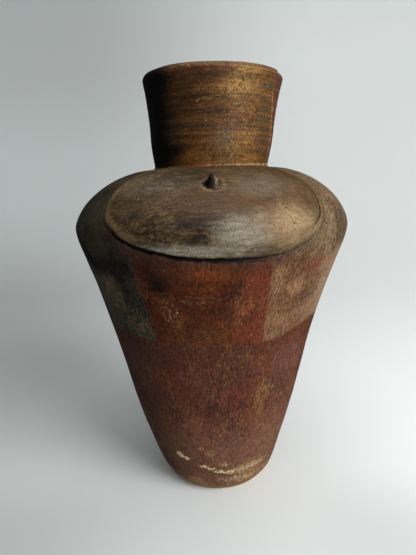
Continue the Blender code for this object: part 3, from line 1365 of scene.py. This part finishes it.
    pad_warm_spots: tuple = (
        Spot(12.0, 218.5, 13.0, 5.0, 0.8, 0.9, 0.9), Spot(-8.0, 220.0, 14.0, 5.0, 0.5, 0.9, 0.9),
        Spot(34.0, 222.0, 8.0, 6.0, 0.5, 0.9, 0.9),
    )
    # Grey burnish streaks near the top, a painted highlight at the middle and painted glints along the lower
    # edge
    pad_grey_and_highlight_spots: tuple = (
        Spot(10.0, 203.0, 7.0, 9.0, 0.68, 0.9, 0.9), Spot(-10.0, 195.0, 16.0, 3.2, 0.75, 0.7),
        Spot(23.0, 227.0, 12.0, 5.0, 0.28, 0.9), Spot(-30.0, 228.0, 16.0, 5.0, 0.2, 0.9),
    )
    flakes: tuple = (
        Spot(-29.0, 36.5, 3.2, 2.6, 0.95, 0.2, 1.4, 420.0),
        Spot(-24.5, 34.2, 3.8, 1.6, 0.95, 0.2, 1.2, 420.0),
        Spot(-10.0, 28.3, 3.6, 1.7, 0.95, 0.2, 1.2, 420.0),
        Spot(-4.5, 26.6, 3.6, 1.5, 0.95, 0.2, 1.3, 420.0), Spot(2.0, 23.6, 4.0, 1.7, 0.9, 0.2, 1.3, 420.0),
        Spot(9.5, 22.4, 4.5, 1.9, 0.85, 0.3, 1.5, 420.0), Spot(6.0, 31.0, 4.0, 2.2, 0.4, 0.4, 2.6, 620.0),
        Spot(18.0, 23.0, 7.0, 2.4, 0.45, 0.5, 3.0, 640.0),
        Spot(31.0, 25.0, 10.0, 2.4, 0.4, 0.5, 3.0, 640.0),
        Spot(24.0, 14.0, 16.0, 2.4, 0.35, 0.5, 3.0, 640.0),
    )
    ochre_flakes: tuple = (
        Spot(-4.5, 42.5, 4.0, 3.0, 0.75, 0.4, 1.8, 420.0), Spot(-9.5, 47.0, 2.0, 1.5, 0.6, 0.4, 1.6, 420.0),
        Spot(-20.0, 10.5, 8.0, 5.0, 0.75, 0.4, 2.0, 480.0),
        Spot(30.0, 25.0, 14.0, 5.0, 0.6, 0.5, 3.0, 520.0),
    )

    def build(self) -> bpy.types.Material:
        """Make the material.

        Returns:
            The material.
        """
        material, nodes, shader = self.open()
        ground = Ground(nodes, self.effects)
        inset = nodes.add("ShaderNodeAttribute", attribute_name="pad_inset").outputs["Fac"]
        inset = nodes.times(inset, 1.0 / MM)
        on_pad = nodes.ramp(inset, *self.pad_edge)
        dirt = ground.clouded(
            (1.0, 1.0, 0.55), (0.0, 0.0, 0.0), cloud=50.0, grain=560.0, amount=0.03, gather=0.8,
        )
        rub = ground.clouded(
            (1.0, 1.0, 0.55), (0.31, 0.12, 0.23), cloud=58.0, grain=640.0, amount=-0.01, gather=0.8,
        )

        upper = self.panels(ground, dirt, rub)
        lower = self.lower_slip(ground, dirt, rub)
        border = ground.swayed(ground.height, scale=60.0, reach=5.0)
        border = nodes.math("SUBTRACT", border, nodes.ramp(ground.turn, 24.0, 60.0, 0.0, 7.0))
        colour = nodes.mix(nodes.ramp(border, *self.belt), lower, upper)
        colour = self.shoulder_slip(ground, dirt, rub, colour)
        pad_dirt = ground.clouded(
            (0.38, 0.9, 1.0), (0.4, 0.2, 0.1), cloud=70.0, grain=560.0, amount=0.01, gather=0.9,
        )
        pad_rub = ground.clouded(
            (0.38, 0.9, 1.0), (0.1, 0.5, 0.3), cloud=74.0, grain=620.0, amount=-0.01, gather=0.9,
        )
        pad = self.pad_slip(ground, pad_dirt, pad_rub, inset)
        colour = nodes.mix(on_pad, colour, pad)
        colour = self.pad_border(ground, colour, inset)
        colour = self.foot(ground, colour)
        colour = self.nub_clay(ground, colour)

        pits = ground.specks(scale=420.0, size=0.28, amount=0.12)
        chips = ground.specks(scale=270.0, size=0.18, amount=0.08)
        colour = nodes.mix(nodes.times(pits, 0.6), colour, self.soot)
        colour = nodes.mix(nodes.times(chips, 0.5), colour, self.tan)
        upright = ground.strokes((850.0, 850.0, 40.0))
        level = ground.strokes((50.0, 640.0, 640.0))
        strokes = nodes.math("MULTIPLY_ADD", nodes.math("SUBTRACT", level, upright), on_pad, upright)
        grain = ground.grain()
        calm = nodes.times(on_pad, ground.between(8.0, 60.0, soft=9.0))
        depth = nodes.ramp(calm, 0.0, 1.0, 0.32, 0.22)
        colour = ground.shaded(colour, strokes, low=0.30, high=0.70, depth=depth)
        depth = nodes.ramp(calm, 0.0, 1.0, 0.46, 0.28)
        colour = ground.shaded(colour, grain, low=0.32, high=0.68, depth=depth)
        relief = nodes.times(strokes, self.stroke_depth)
        relief = nodes.math("MULTIPLY_ADD", grain, self.grain_depth, relief)
        relief = nodes.math("MULTIPLY_ADD", pits, -self.pit_depth, relief)
        wear = nodes.math("MAXIMUM", nodes.times(dirt, 0.8), ground.mottled(scale=60.0, low=0.42, high=0.66))
        self.close(nodes, shader, colour, wear, relief)
        return material

    def panels(self, ground: Ground, dirt: Socket, rub: Socket) -> Socket:
        """Panels under the shoulder: orange and red in front, dark to the left, tan elsewhere.

        Args:
            ground: The material's ground.
            dirt: Mask of the dirt.
            rub: Mask of the rubbed grain.

        Returns:
            Their colour.
        """
        nodes = ground.nodes
        front = ground.slip(self.front, dirt, rub)
        front = ground.spots(front, self.orange, self.orange_spots)
        low = nodes.ramp(ground.swayed(ground.height, scale=60.0, reach=16.0), 162.0, 140.0, 0.0, 0.45)
        front = nodes.mix(low, front, self.front_low)
        red = ground.slip(self.front_red, dirt, rub)
        reddened = nodes.ramp(ground.swayed(ground.turn, scale=45.0, reach=16.0), 6.0, 14.0)
        front = nodes.mix(reddened, front, red)
        front = ground.spots(front, self.soot, self.soot_spots)
        broken = ground.mottled(scale=640.0, low=0.50, high=0.64)
        front = ground.spots(front, self.tan, self.pale_front, broken)
        left = ground.slip(self.left, dirt, rub)
        left = ground.spots(left, self.soot, self.left_soot)
        broken = ground.mottled(scale=260.0, low=0.42, high=0.58)
        left = ground.spots(left, self.left.rubbed, self.left_rubbed, broken)
        right = ground.slip(self.right, dirt, rub)
        right = ground.spots(right, self.tan, self.tan_spots)
        right = ground.spots(right, self.red, self.red_spots[:1])
        worn = nodes.ramp(ground.swayed(ground.turn, scale=60.0, reach=14.0), 42.0, 62.0, 0.0, 0.70)
        right = nodes.mix(worn, right, self.worn_tan)
        up = nodes.math("SUBTRACT", ground.height, self.panel_middle)
        slant = nodes.math("MULTIPLY_ADD", up, self.panel_lean, ground.turn)
        slant = ground.swayed(slant, scale=120.0, reach=1.2)
        colour = nodes.mix(nodes.ramp(slant, *self.right_edge), front, right)
        return nodes.mix(nodes.ramp(slant, *self.left_edge), colour, left)

    def lower_slip(self, ground: Ground, dirt: Socket, rub: Socket) -> Socket:
        """Dark red slip of the lower body, worn to olive in clouds, lighter low down, with painted light to
        the right and painted shade to the left.

        Args:
            ground: The material's ground.
            dirt: Mask of the dirt.
            rub: Mask of the rubbed grain.

        Returns:
            Its colour.
        """
        nodes = ground.nodes
        colour = ground.slip(self.lower, dirt, rub)
        colour = ground.spots(colour, self.purple, self.purple_spots)
        colour = ground.spots(colour, self.red, self.red_spots[1:])
        tall = ground.swayed(ground.height, scale=46.0, reach=24.0)
        colour = nodes.mix(nodes.ramp(tall, 104.0, 132.0, 0.0, 0.5), colour, self.lower_top)
        colour = nodes.mix(nodes.ramp(tall, 84.0, 40.0, 0.0, 0.34), colour, self.pale_red_and_painted_light)
        # Painted light: lighter to the right, more so low down; painted shade: darker to the left
        side = ground.swayed(ground.turn, scale=40.0, reach=24.0)
        light = nodes.times(nodes.ramp(side, 12.0, 50.0, 0.0, 0.22), nodes.ramp(tall, 110.0, 60.0, 0.3, 1.0))
        colour = nodes.mix(light, colour, self.pale_red_and_painted_light)
        return nodes.mix(nodes.ramp(side, -12.0, -50.0, 0.0, 0.45), colour, self.painted_shade_red)

    def shoulder_slip(self, ground: Ground, dirt: Socket, rub: Socket, colour: Socket) -> Socket:
        """Grey-brown shoulder round the pad, dark to the left, over the tops of the panels.

        Args:
            ground: The material's ground.
            dirt: Mask of the dirt.
            rub: Mask of the rubbed grain.
            colour: The colour so far.

        Returns:
            The new colour.
        """
        nodes = ground.nodes
        shoulder = ground.slip(self.shoulder, dirt, rub)
        dark = ground.slip(self.shoulder_left, dirt, rub)
        leftward = nodes.ramp(ground.swayed(ground.turn, scale=30.0, reach=20.0), -8.0, -38.0)
        shoulder = nodes.mix(leftward, shoulder, dark)
        border = ground.swayed(ground.height, scale=38.0, reach=22.0, detail=5.0)
        return nodes.mix(nodes.ramp(border, *self.shoulder_edge), colour, shoulder)

    def pad_slip(self, ground: Ground, dirt: Socket, rub: Socket, inset: Socket) -> Socket:
        """Burnished brown pad with soot low on the left, a tan patch on the right, and grey marks that are
        partly painted highlight and painted glints.

        Args:
            ground: The material's ground.
            dirt: Mask of the dirt.
            rub: Mask of the rubbed grain.
            inset: Distance in from the pad's edge, in mm.

        Returns:
            Its colour.
        """
        nodes = ground.nodes
        calm = ground.between(6.0, 60.0, soft=9.0)
        smooth_dirt = nodes.times(dirt, nodes.ramp(calm, 0.0, 1.0, 1.0, 0.35))
        smooth_rub = nodes.times(rub, nodes.ramp(calm, 0.0, 1.0, 1.0, 0.45))
        colour = ground.slip(self.pad, smooth_dirt, smooth_rub)
        colour = ground.spots(colour, self.pad_shade, self.pad_shade_spots)
        colour = ground.spots(colour, self.pad_warm, self.pad_warm_spots)
        colour = ground.spots(colour, self.pad_tan, self.pad_tan_spots)
        # Grey marks: partly painted highlight and painted glints on the pad
        colour = ground.spots(colour, self.pad_grey_and_highlight, self.pad_grey_and_highlight_spots)
        sooty = ground.clouded(
            (0.42, 0.9, 1.0), (0.7, 0.3, 0.6), cloud=190.0, grain=640.0, amount=0.05, gather=1.0,
        )
        colour = ground.spots(colour, self.soot, self.pad_soot, sooty)
        colour = ground.spots(colour, self.soot, self.pad_pits)
        side = nodes.math("ABSOLUTE", ground.turn)
        band = ground.line(inset, at=2.6, half_width=1.4, soft=1.4, wander=3.0)
        band = nodes.times(band, nodes.ramp(side, 16.0, 32.0, 0.0, 0.5))
        return nodes.mix(band, colour, self.pad.rubbed)

    def pad_border(self, ground: Ground, colour: Socket, inset: Socket) -> Socket:
        """Dark groove round the pad, partly painted shade in the recess, a painted dark red shadow below the
        pad, and the cut line inside the right edge.

        Args:
            ground: The material's ground.
            colour: The colour so far.
            inset: Distance in from the pad's edge, in mm.

        Returns:
            The new colour.
        """
        nodes = ground.nodes
        # Painted shadow: a dark red band just under the pad's lower edge, fading to the right
        low = nodes.ramp(ground.height, 214.0, 196.0)
        shade = ground.line(inset, at=-2.2, half_width=1.8, soft=1.5, wander=2.0)
        shade = nodes.times(shade, nodes.times(low, 0.6))
        shade = nodes.times(shade, nodes.ramp(ground.turn, 26.0, 10.0, 0.4, 1.0))
        colour = nodes.mix(shade, colour, self.painted_shadow_red)
        # Groove line: darker and wider low down and to the left, away from the light, as partly painted shade
        # in the recess
        width = nodes.ramp(ground.height, 222.0, 198.0, 0.55, 0.85)
        groove = ground.line(inset, at=-0.5, half_width=width, soft=0.4, wander=2.0, scale=170.0)
        strength = nodes.ramp(ground.swayed(ground.turn, scale=50.0, reach=24.0), 28.0, 6.0, 0.42, 0.97)
        colour = nodes.mix(nodes.times(groove, strength), colour, self.groove)
        cut = ground.line(inset, at=3.6, half_width=0.6, soft=0.4, wander=0.8)
        cut = nodes.times(cut, nodes.ramp(ground.turn, 16.0, 30.0, 0.0, 0.85))
        cut = nodes.times(cut, nodes.ramp(ground.height, 201.0, 210.0, 0.1, 1.0))
        return nodes.mix(cut, colour, self.groove)

    def nub_clay(self, ground: Ground, colour: Socket) -> Socket:
        """Near black nub with a rubbed ring round it and two pale specks, lighter on its right side as
        painted light.

        Args:
            ground: The material's ground.
            colour: The colour so far.

        Returns:
            The new colour.
        """
        nodes = ground.nodes
        nub = nodes.add("ShaderNodeVectorMath", operation="DISTANCE")
        nodes.feed(nub.inputs[0], ground.place)
        nub.inputs[1].default_value = self.nub_at
        near = ground.swayed(nodes.times(nub.outputs["Value"], 1.0 / MM), scale=300.0, reach=5.0)
        colour = nodes.mix(nodes.ramp(near, 9.5, 5.0, 0.0, 0.30), colour, self.pad_tan)
        # Painted light: the nub's black is lighter on its right side, which faces the light
        dark = nodes.times(nodes.ramp(near, 6.4, 5.0), nodes.ramp(ground.turn, -1.0, 2.6, 0.98, 0.80))
        colour = nodes.mix(dark, colour, self.nub)
        return ground.spots(colour, self.pad_tan, self.nub_specks)

    def foot(self, ground: Ground, colour: Socket) -> Socket:
        """Bare clay where the foot is rubbed, a pale bottom edge that is partly painted highlight, and cream
        patches where the slip has flaked.

        Args:
            ground: The material's ground.
            colour: The colour so far.

        Returns:
            The new colour.
        """
        nodes = ground.nodes
        rubbed = ground.swayed(ground.height, scale=620.0, reach=60.0, detail=4.0)
        wave = nodes.math("SUBTRACT", nodes.noise(ground.place, 70.0), 0.5)
        rubbed = nodes.math("MULTIPLY_ADD", wave, 20.0, rubbed)
        right = nodes.ramp(ground.turn, -30.0, 45.0, 7.0, 15.0)
        edge = nodes.math("SUBTRACT", rubbed, right)
        broken = ground.mottled(scale=620.0, low=0.40, high=0.52)
        lowest = nodes.ramp(ground.height, 9.0, 3.0, 0.3, 1.0)
        speckled = nodes.math("MAXIMUM", ground.mottled(scale=760.0, low=0.38, high=0.56), lowest)
        colour = nodes.mix(nodes.times(nodes.ramp(edge, 3.5, -3.5), speckled), colour, self.bare)
        # Pale band at the bottom edge: rubbed clay, brightened as painted highlight on the rounded foot
        colour = nodes.mix(nodes.ramp(ground.height, 2.8, 1.4, 0.0, 0.7), colour, self.foot_edge_and_highlight)
        colour = ground.spots(colour, self.bare, self.ochre_flakes, broken)
        return ground.spots(colour, self.cream, self.flakes, broken)


@dataclass(frozen=True)
class NeckFinish(Finish):
    """The ochre neck with its dark stripes, red lip band, red upright bands and smoked side."""

    ochre: Slip = Slip(paint(86, 50, 11), paint(40, 24, 7), paint(130, 88, 32), 0.75, 0.55)
    golden: Slip = Slip(paint(100, 62, 14), paint(60, 36, 8), paint(150, 112, 54), 0.8, 0.6)
    stripe: Colour = paint(33, 23, 12)
    red: Colour = paint(78, 34, 18)
    purple: Colour = paint(88, 48, 38)
    pale: Colour = paint(150, 116, 74)
    grey: Colour = paint(84, 70, 48)
    dash: Colour = paint(68, 57, 40)
    smoke: Colour = paint(7, 4, 2)
    joint: Colour = paint(158, 130, 86)
    orange: Colour = paint(128, 60, 28)
    lip: Colour = paint(114, 87, 53)

    # Fine relief, in metres
    stroke_depth: float = 0.00016
    grain_depth: float = 0.00020
    pit_depth: float = 0.00020

    # Stripes as (height in mm, half width in mm, strength, turn where they end); the dashes' heights
    stripe_heights: tuple = (
        (280.4, 2.0, 0.85, 10.0), (277.0, 1.0, 0.8, -4.0), (272.0, 1.9, 0.7, 12.0), (264.4, 1.7, 0.6, 20.0),
        (285.2, 1.0, 0.5, 0.0), (257.5, 1.4, 0.45, -4.0),
    )
    dash_heights: tuple = (288.0, 280.2, 274.0, 268.4, 262.4, 255.8, 249.6)

    # Marks
    smoke_spots: tuple = (
        Spot(-54.0, 289.0, 17.0, 9.0, 0.95, 0.6, 0.9), Spot(-48.0, 250.0, 18.0, 8.0, 0.95, 0.6, 0.9),
        Spot(-31.0, 251.5, 11.0, 4.0, 0.75, 0.7, 0.9), Spot(-50.0, 268.0, 12.0, 15.0, 0.85, 0.8, 0.9),
    )
    dark_spots: tuple = (
        Spot(-6.0, 291.8, 15.0, 3.0, 0.65, 0.9, 0.9), Spot(-26.0, 264.0, 12.0, 9.0, 0.4, 0.9),
        Spot(-24.0, 289.0, 14.0, 7.0, 0.55, 0.9),
    )
    red_spots: tuple = (
        Spot(-2.0, 288.3, 18.0, 1.3, 0.5), Spot(20.0, 268.0, 8.0, 5.0, 0.3, 0.7),
        Spot(0.0, 276.0, 12.0, 1.5, 0.3),
    )
    grey_spots: tuple = (
        Spot(10.0, 257.0, 9.0, 6.0, 0.55, 0.9, 0.9), Spot(24.0, 277.0, 5.0, 6.0, 0.25, 0.7),
    )
    pale_spots: tuple = (
        Spot(21.0, 287.0, 12.0, 5.0, 0.45, 0.9, 0.9), Spot(16.0, 249.0, 8.0, 5.0, 0.3, 0.9, 0.9),
    )
    golden_spots: tuple = (
        Spot(22.0, 288.0, 18.0, 8.0, 0.5, 0.9, 0.9), Spot(28.0, 250.0, 12.0, 8.0, 0.15, 0.9, 0.9),
        Spot(-2.0, 246.0, 16.0, 4.0, 0.3, 0.9, 0.9),
    )
    orange_spots: tuple = (Spot(-9.0, 240.2, 15.0, 1.4, 0.6),)
    nick: tuple = (
        Spot(-11.4, 278.0, 0.9, 0.5, 0.8, 0.3, 1.4, 700.0),
        Spot(-9.8, 278.9, 0.7, 0.4, 0.7, 0.3, 1.4, 700.0),
        Spot(-4.5, 267.0, 0.7, 0.5, 0.55, 0.3, 1.2, 520.0),
    )

    def build(self) -> bpy.types.Material:
        """Make the material.

        Returns:
            The material.
        """
        material, nodes, shader = self.open()
        ground = Ground(nodes, self.effects)
        dirt = ground.clouded(
            (0.55, 0.55, 1.0), (0.0, 0.0, 0.0), cloud=52.0, grain=620.0, amount=0.02, gather=0.8,
        )
        rub = ground.clouded(
            (0.8, 0.8, 1.0), (0.31, 0.12, 0.23), cloud=58.0, grain=700.0, amount=-0.02, gather=0.8,
        )
        colour = ground.slip(self.ochre, dirt, rub)
        golden = ground.slip(self.golden, dirt, rub)
        gild = nodes.ramp(ground.swayed(ground.turn, scale=60.0, reach=50.0, detail=5.0), -14.0, 30.0)
        upward = nodes.ramp(ground.swayed(ground.height, scale=40.0, reach=30.0), 246.0, 276.0, 0.4, 1.0)
        gild = nodes.times(gild, upward)
        colour = nodes.mix(gild, colour, golden)
        worn = ground.mottled(scale=420.0, low=0.34, high=0.60)
        colour = ground.spots(colour, self.golden.rubbed, self.golden_spots, worn)
        worn = ground.mottled(scale=620.0, low=0.46, high=0.62)
        colour = ground.spots(colour, self.joint, self.pale_spots, worn)
        colour = self.stripes(ground, colour)
        colour = self.right_side(ground, colour)
        colour = self.lip_and_joint(ground, colour)
        smoked = ground.swayed(ground.turn, scale=42.0, reach=22.0, detail=5.0)
        behind = ground.between(-200.0, -100.0, soft=12.0)
        smoke = nodes.math("SUBTRACT", nodes.ramp(smoked, -26.0, -54.0, 0.0, 0.97), nodes.times(behind, 0.6))
        colour = nodes.mix(smoke, colour, self.smoke)
        colour = ground.spots(colour, self.smoke, self.smoke_spots)

        pits = ground.specks(scale=460.0, size=0.26, amount=0.12)
        colour = nodes.mix(nodes.times(pits, 0.6), colour, self.smoke)
        level = ground.strokes((26.0, 26.0, 560.0))
        grain = ground.grain()
        colour = ground.shaded(colour, level, low=0.30, high=0.70, depth=0.36)
        colour = ground.shaded(colour, grain, low=0.32, high=0.68, depth=0.55)
        relief = nodes.times(level, self.stroke_depth)
        relief = nodes.math("MULTIPLY_ADD", grain, self.grain_depth, relief)
        relief = nodes.math("MULTIPLY_ADD", pits, -self.pit_depth, relief)
        self.close(nodes, shader, colour, dirt, relief)
        return material

    def stripes(self, ground: Ground, colour: Socket) -> Socket:
        """Dark level stripes of the front, with soot patches, red traces and the pale nick.

        Args:
            ground: The material's ground.
            colour: The colour so far.

        Returns:
            The new colour.
        """
        nodes = ground.nodes
        brushed = ground.strokes((70.0, 70.0, 700.0))
        brushed = nodes.ramp(brushed, 0.34, 0.52, 0.5, 1.0)
        for at_height, half_width, strength, end in self.stripe_heights:
            turn = ground.swayed(ground.turn, scale=60.0, reach=14.0)
            front = nodes.ramp(turn, end + 12.0, end - 10.0, 0.0, strength)
            stripe = ground.line(ground.height, at=at_height, half_width=half_width, soft=1.4, wander=3.0)
            stripe = nodes.times(stripe, brushed)
            colour = nodes.mix(nodes.times(stripe, front), colour, self.stripe)
        colour = ground.spots(colour, self.red, self.red_spots)
        colour = ground.spots(colour, self.stripe, self.dark_spots)
        colour = ground.spots(colour, self.grey, self.grey_spots)
        return ground.spots(colour, self.joint, self.nick)

    def right_side(self, ground: Ground, colour: Socket) -> Socket:
        """Column of grey dashes, the pale line and the upright red band on the right of the neck.

        Args:
            ground: The material's ground.
            colour: The colour so far.

        Returns:
            The new colour.
        """
        nodes = ground.nodes
        dashes = tuple(Spot(51.5, height, 9.5, 2.1, 0.75, 0.6, 0.7, 150.0) for height in self.dash_heights)
        colour = ground.spots(colour, self.dash, dashes)
        lean = nodes.ramp(ground.height, 258.0, 298.0, 69.0, 57.0)
        past = nodes.math("SUBTRACT", ground.turn, ground.swayed(lean, scale=90.0, reach=4.0))
        pale = ground.line(past, at=-1.6, half_width=1.0, soft=0.8, wander=1.5)
        pale = nodes.times(pale, nodes.ramp(ground.height, 290.0, 276.0, 0.1, 0.6))
        colour = nodes.mix(pale, colour, self.pale)
        band = nodes.times(nodes.ramp(past, -0.6, 0.8), nodes.ramp(ground.turn, 104.0, 101.0, 0.0, 0.85))
        return nodes.mix(band, colour, self.purple)

    def lip_and_joint(self, ground: Ground, colour: Socket) -> Socket:
        """Rubbed lip with traces of its red band, and the pale line where the neck joins the shoulder.

        Args:
            ground: The material's ground.
            colour: The colour so far.

        Returns:
            The new colour.
        """
        nodes = ground.nodes
        broken = ground.mottled(scale=380.0, low=0.38, high=0.58)
        lip = nodes.ramp(ground.swayed(ground.height, scale=300.0, reach=3.0), 296.0, 298.6, 0.0, 0.85)
        colour = nodes.mix(nodes.times(lip, broken), colour, self.lip)
        red = ground.line(ground.height, at=295.4, half_width=1.3, soft=0.9, wander=2.4)
        red = nodes.times(red, ground.between(-34.0, 16.0, soft=8.0))
        red = nodes.times(red, ground.mottled(scale=300.0, low=0.30, high=0.60))
        colour = nodes.mix(nodes.times(red, 0.6), colour, self.red)
        colour = ground.spots(colour, self.orange, self.orange_spots)
        joint = ground.line(ground.height, at=240.2, half_width=0.8, soft=0.5, wander=1.2)
        joint = nodes.times(joint, ground.between(-10.0, 90.0, soft=8.0))
        joint = nodes.times(joint, ground.mottled(scale=560.0, low=0.40, high=0.58))
        return nodes.mix(nodes.times(joint, 0.8), colour, self.joint)


@dataclass(frozen=True)
class InsideFinish(Finish):
    """Bare fired clay of the inside and the underside, never burnished."""

    clay: Slip = Slip(paint(112, 78, 50), paint(64, 46, 34), paint(140, 106, 72), 0.7, 0.5)
    stroke_depth: float = 0.0003
    grain_depth: float = 0.0002

    def build(self) -> bpy.types.Material:
        """Make the material.

        Returns:
            The material.
        """
        material, nodes, shader = self.open()
        ground = Ground(nodes, self.effects)
        dirt = ground.clouded((0.5, 0.5, 1.0), (0.0, 0.0, 0.0), cloud=40.0, grain=500.0)
        rub = ground.clouded((0.5, 0.5, 1.0), (0.3, 0.1, 0.2), cloud=44.0, grain=560.0, amount=-0.03)
        colour = ground.slip(self.clay, dirt, rub)
        level = ground.strokes((20.0, 20.0, 300.0))
        grain = nodes.noise(ground.place, 800.0, 4.0, 0.7)
        relief = nodes.times(level, self.stroke_depth)
        relief = nodes.math("MULTIPLY_ADD", grain, self.grain_depth, relief)
        self.close(nodes, shader, colour, dirt, relief)
        return material


@dataclass(frozen=True)
class PaperFinish:
    """Pale paper with painted light and shade: painted shade to the left, near the front and in the front
    corners, and a painted lighter patch low on the back wall to the left.
    """

    name: str = "sweep_paper"
    bright: Colour = (0.87, 0.896, 0.89)
    shade: Colour = (0.49, 0.512, 0.51)
    roughness: float = 0.9

    # Where each painted change of light and shade starts and ends, in metres to the side, back or up; front
    # adds its two tones
    across: tuple = (-0.45, 0.35)
    front: tuple = (-0.14, 0.0, 0.92, 1.0)
    lift_back: tuple = (0.45, 0.85)
    lift_low: tuple = (0.62, 0.2)
    lift_left: tuple = (0.1, -0.4)
    corner_side: tuple = (0.03, 0.13)
    corner_front: tuple = (0.0, -0.09)

    # How much lighter the painted light makes the lifted part, and how much darker the painted shade makes
    # the front corners
    lift: float = 0.22
    corner: float = 0.15

    def build(self) -> bpy.types.Material:
        """Make the material.

        Returns:
            The material.
        """
        material = bpy.data.materials.new(self.name)
        material.use_nodes = True
        shader = material.node_tree.nodes["Principled BSDF"]
        nodes = Nodes(material.node_tree)
        parts = nodes.add("ShaderNodeSeparateXYZ")
        nodes.feed(parts.inputs[0], nodes.add("ShaderNodeTexCoord").outputs["Object"])
        side, back, up = parts.outputs
        # Painted shade to the left, then painted shade near the front and in the front corners, and painted
        # light low on the back wall to the left
        paper = nodes.mix(nodes.ramp(side, *self.across), self.shade, self.bright)
        painted_light_and_shade = nodes.ramp(back, *self.front)
        low = nodes.times(nodes.ramp(back, *self.lift_back), nodes.ramp(up, *self.lift_low))
        lifted = nodes.times(low, nodes.ramp(side, *self.lift_left))
        painted_light_and_shade = nodes.math("MULTIPLY_ADD", lifted, self.lift, painted_light_and_shade)
        aside = nodes.ramp(nodes.math("ABSOLUTE", side), *self.corner_side)
        corner = nodes.times(aside, nodes.ramp(back, *self.corner_front))
        painted_light_and_shade = nodes.math("MULTIPLY_ADD", corner, -self.corner, painted_light_and_shade)
        nodes.feed(shader.inputs["Base Color"], nodes.mix(1.0, paper, painted_light_and_shade, "MULTIPLY"))
        shader.inputs["Roughness"].default_value = self.roughness
        return material


@dataclass(frozen=True)
class Lamp:
    """One soft rectangular light: its place, the point it faces, its width and height, and its watts."""

    name: str
    place: tuple
    aim: tuple
    size: tuple
    power: float

    def hang(self) -> None:
        """Make the light and turn it to its point."""
        data = bpy.data.lights.new(self.name, "AREA")
        data.shape = "RECTANGLE"
        data.size, data.size_y = self.size
        data.energy = self.power
        light = bpy.data.objects.new(self.name, data)
        light.location = self.place
        light.rotation_euler = (Vector(self.aim) - Vector(self.place)).to_track_quat("-Z", "Y").to_euler()
        light.visible_camera = False
        bpy.context.scene.collection.objects.link(light)


@dataclass(frozen=True)
class Studio:
    """Camera at the photograph's place, pale sweep with painted light and shade, and soft light from the
    front right.
    """

    image_height: float = 555.0
    focal_pixels: float = 430.0
    sensor: float = 36.0
    near_clip: float = 0.01
    eye: tuple = (-0.0025, -0.32176, 0.23495)
    pitch: float = math.radians(13.54)
    roll: float = math.radians(-0.72)
    yaw: float = math.radians(-0.71)
    curve: tuple = (
        (0.0, 0.0), (0.45, 0.0), (0.75, 0.03), (0.98, 0.14), (1.14, 0.34), (1.22, 0.6), (1.25, 1.6),
    )
    curve_steps: int = 8
    around: int = 96
    paper: PaperFinish = PaperFinish()
    lamps: tuple = (
        Lamp("window", (0.67, -0.67, 0.80), (0.0, 0.05, 0.15), (0.65, 0.65), 11.65),
        Lamp("side", (0.84, -0.54, 0.48), (0.0, 0.2, 0.10), (0.6, 0.6), 3.12),
        Lamp("ceiling", (-0.1, -0.1, 1.4), (0.0, 0.0, 0.0), (1.1, 1.1), 5.4),
    )
    air: tuple = (0.95, 0.98, 1.0, 1.0)
    air_strength: float = 0.04

    def camera(self) -> None:
        """Place the camera and make it the scene's."""
        data = bpy.data.cameras.new("camera")
        data.sensor_width = self.sensor
        data.lens = self.focal_pixels / self.image_height * self.sensor
        data.clip_start = self.near_clip
        camera = bpy.data.objects.new("camera", data)
        level = Matrix.Rotation(-self.yaw, 4, "Z") @ Matrix.Rotation(math.pi / 2.0 - self.pitch, 4, "X")
        camera.matrix_world = Matrix.Translation(self.eye) @ level @ Matrix.Rotation(self.roll, 4, "Z")
        bpy.context.scene.collection.objects.link(camera)
        bpy.context.scene.camera = camera

    def sweep(self) -> None:
        """Floor that curves up into a backdrop all round, so that every view has a plain ground."""
        bm = bmesh.new()
        line = smooth_line(list(self.curve), self.curve_steps)
        chain = [bm.verts.new((point.x, 0.0, point.y)) for point in line]
        edges = [bm.edges.new(pair) for pair in zip(chain, chain[1:])]
        bmesh.ops.spin(
            bm, geom=chain + edges, cent=(0.0, 0.0, 0.0), axis=(0.0, 0.0, 1.0),
            angle=math.tau, steps=self.around, use_merge=True,
        )
        bmesh.ops.remove_doubles(bm, verts=bm.verts, dist=WELD)
        for face in bm.faces:
            face.smooth = True
        mesh = bpy.data.meshes.new("sweep")
        bm.to_mesh(mesh)
        bm.free()
        floor = bpy.data.objects.new("sweep", mesh)
        bpy.context.scene.collection.objects.link(floor)
        mesh.materials.append(self.paper.build())
        floor.visible_glossy = False

    def build(self) -> None:
        """Set up camera, sweep, lights and world."""
        self.camera()
        self.sweep()
        for lamp in self.lamps:
            lamp.hang()
        world = bpy.data.worlds.new("room")
        world.use_nodes = True
        world.node_tree.nodes["Background"].inputs["Color"].default_value = self.air
        world.node_tree.nodes["Background"].inputs["Strength"].default_value = self.air_strength
        bpy.context.scene.world = world
        bpy.context.scene.view_settings.view_transform = "Standard"


def main() -> None:
    """Build the jar and its studio, and report each piece."""
    logging.basicConfig(level=logging.INFO, format="%(message)s")
    maker = Clay()
    clay = maker.build()
    effects = Effects()
    finishes = (
        BodyFinish("painted_body", effects, nub_at=tuple(maker.nub_base)),
        NeckFinish("painted_neck", effects, gloss=0.5, dull=0.75),
        InsideFinish("bare_inside", effects, gloss=0.8, dull=0.95),
    )
    for finish in finishes:
        clay.data.materials.append(finish.build())
    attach(clay, "root")
    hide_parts("jar")
    triangles = sum(len(face.vertices) - 2 for face in clay.data.polygons)
    LOG.info("%s: %d triangles, %d finishes", clay.name, triangles, len(finishes))
    Studio().build()


if __name__ == "__main__":
    main()
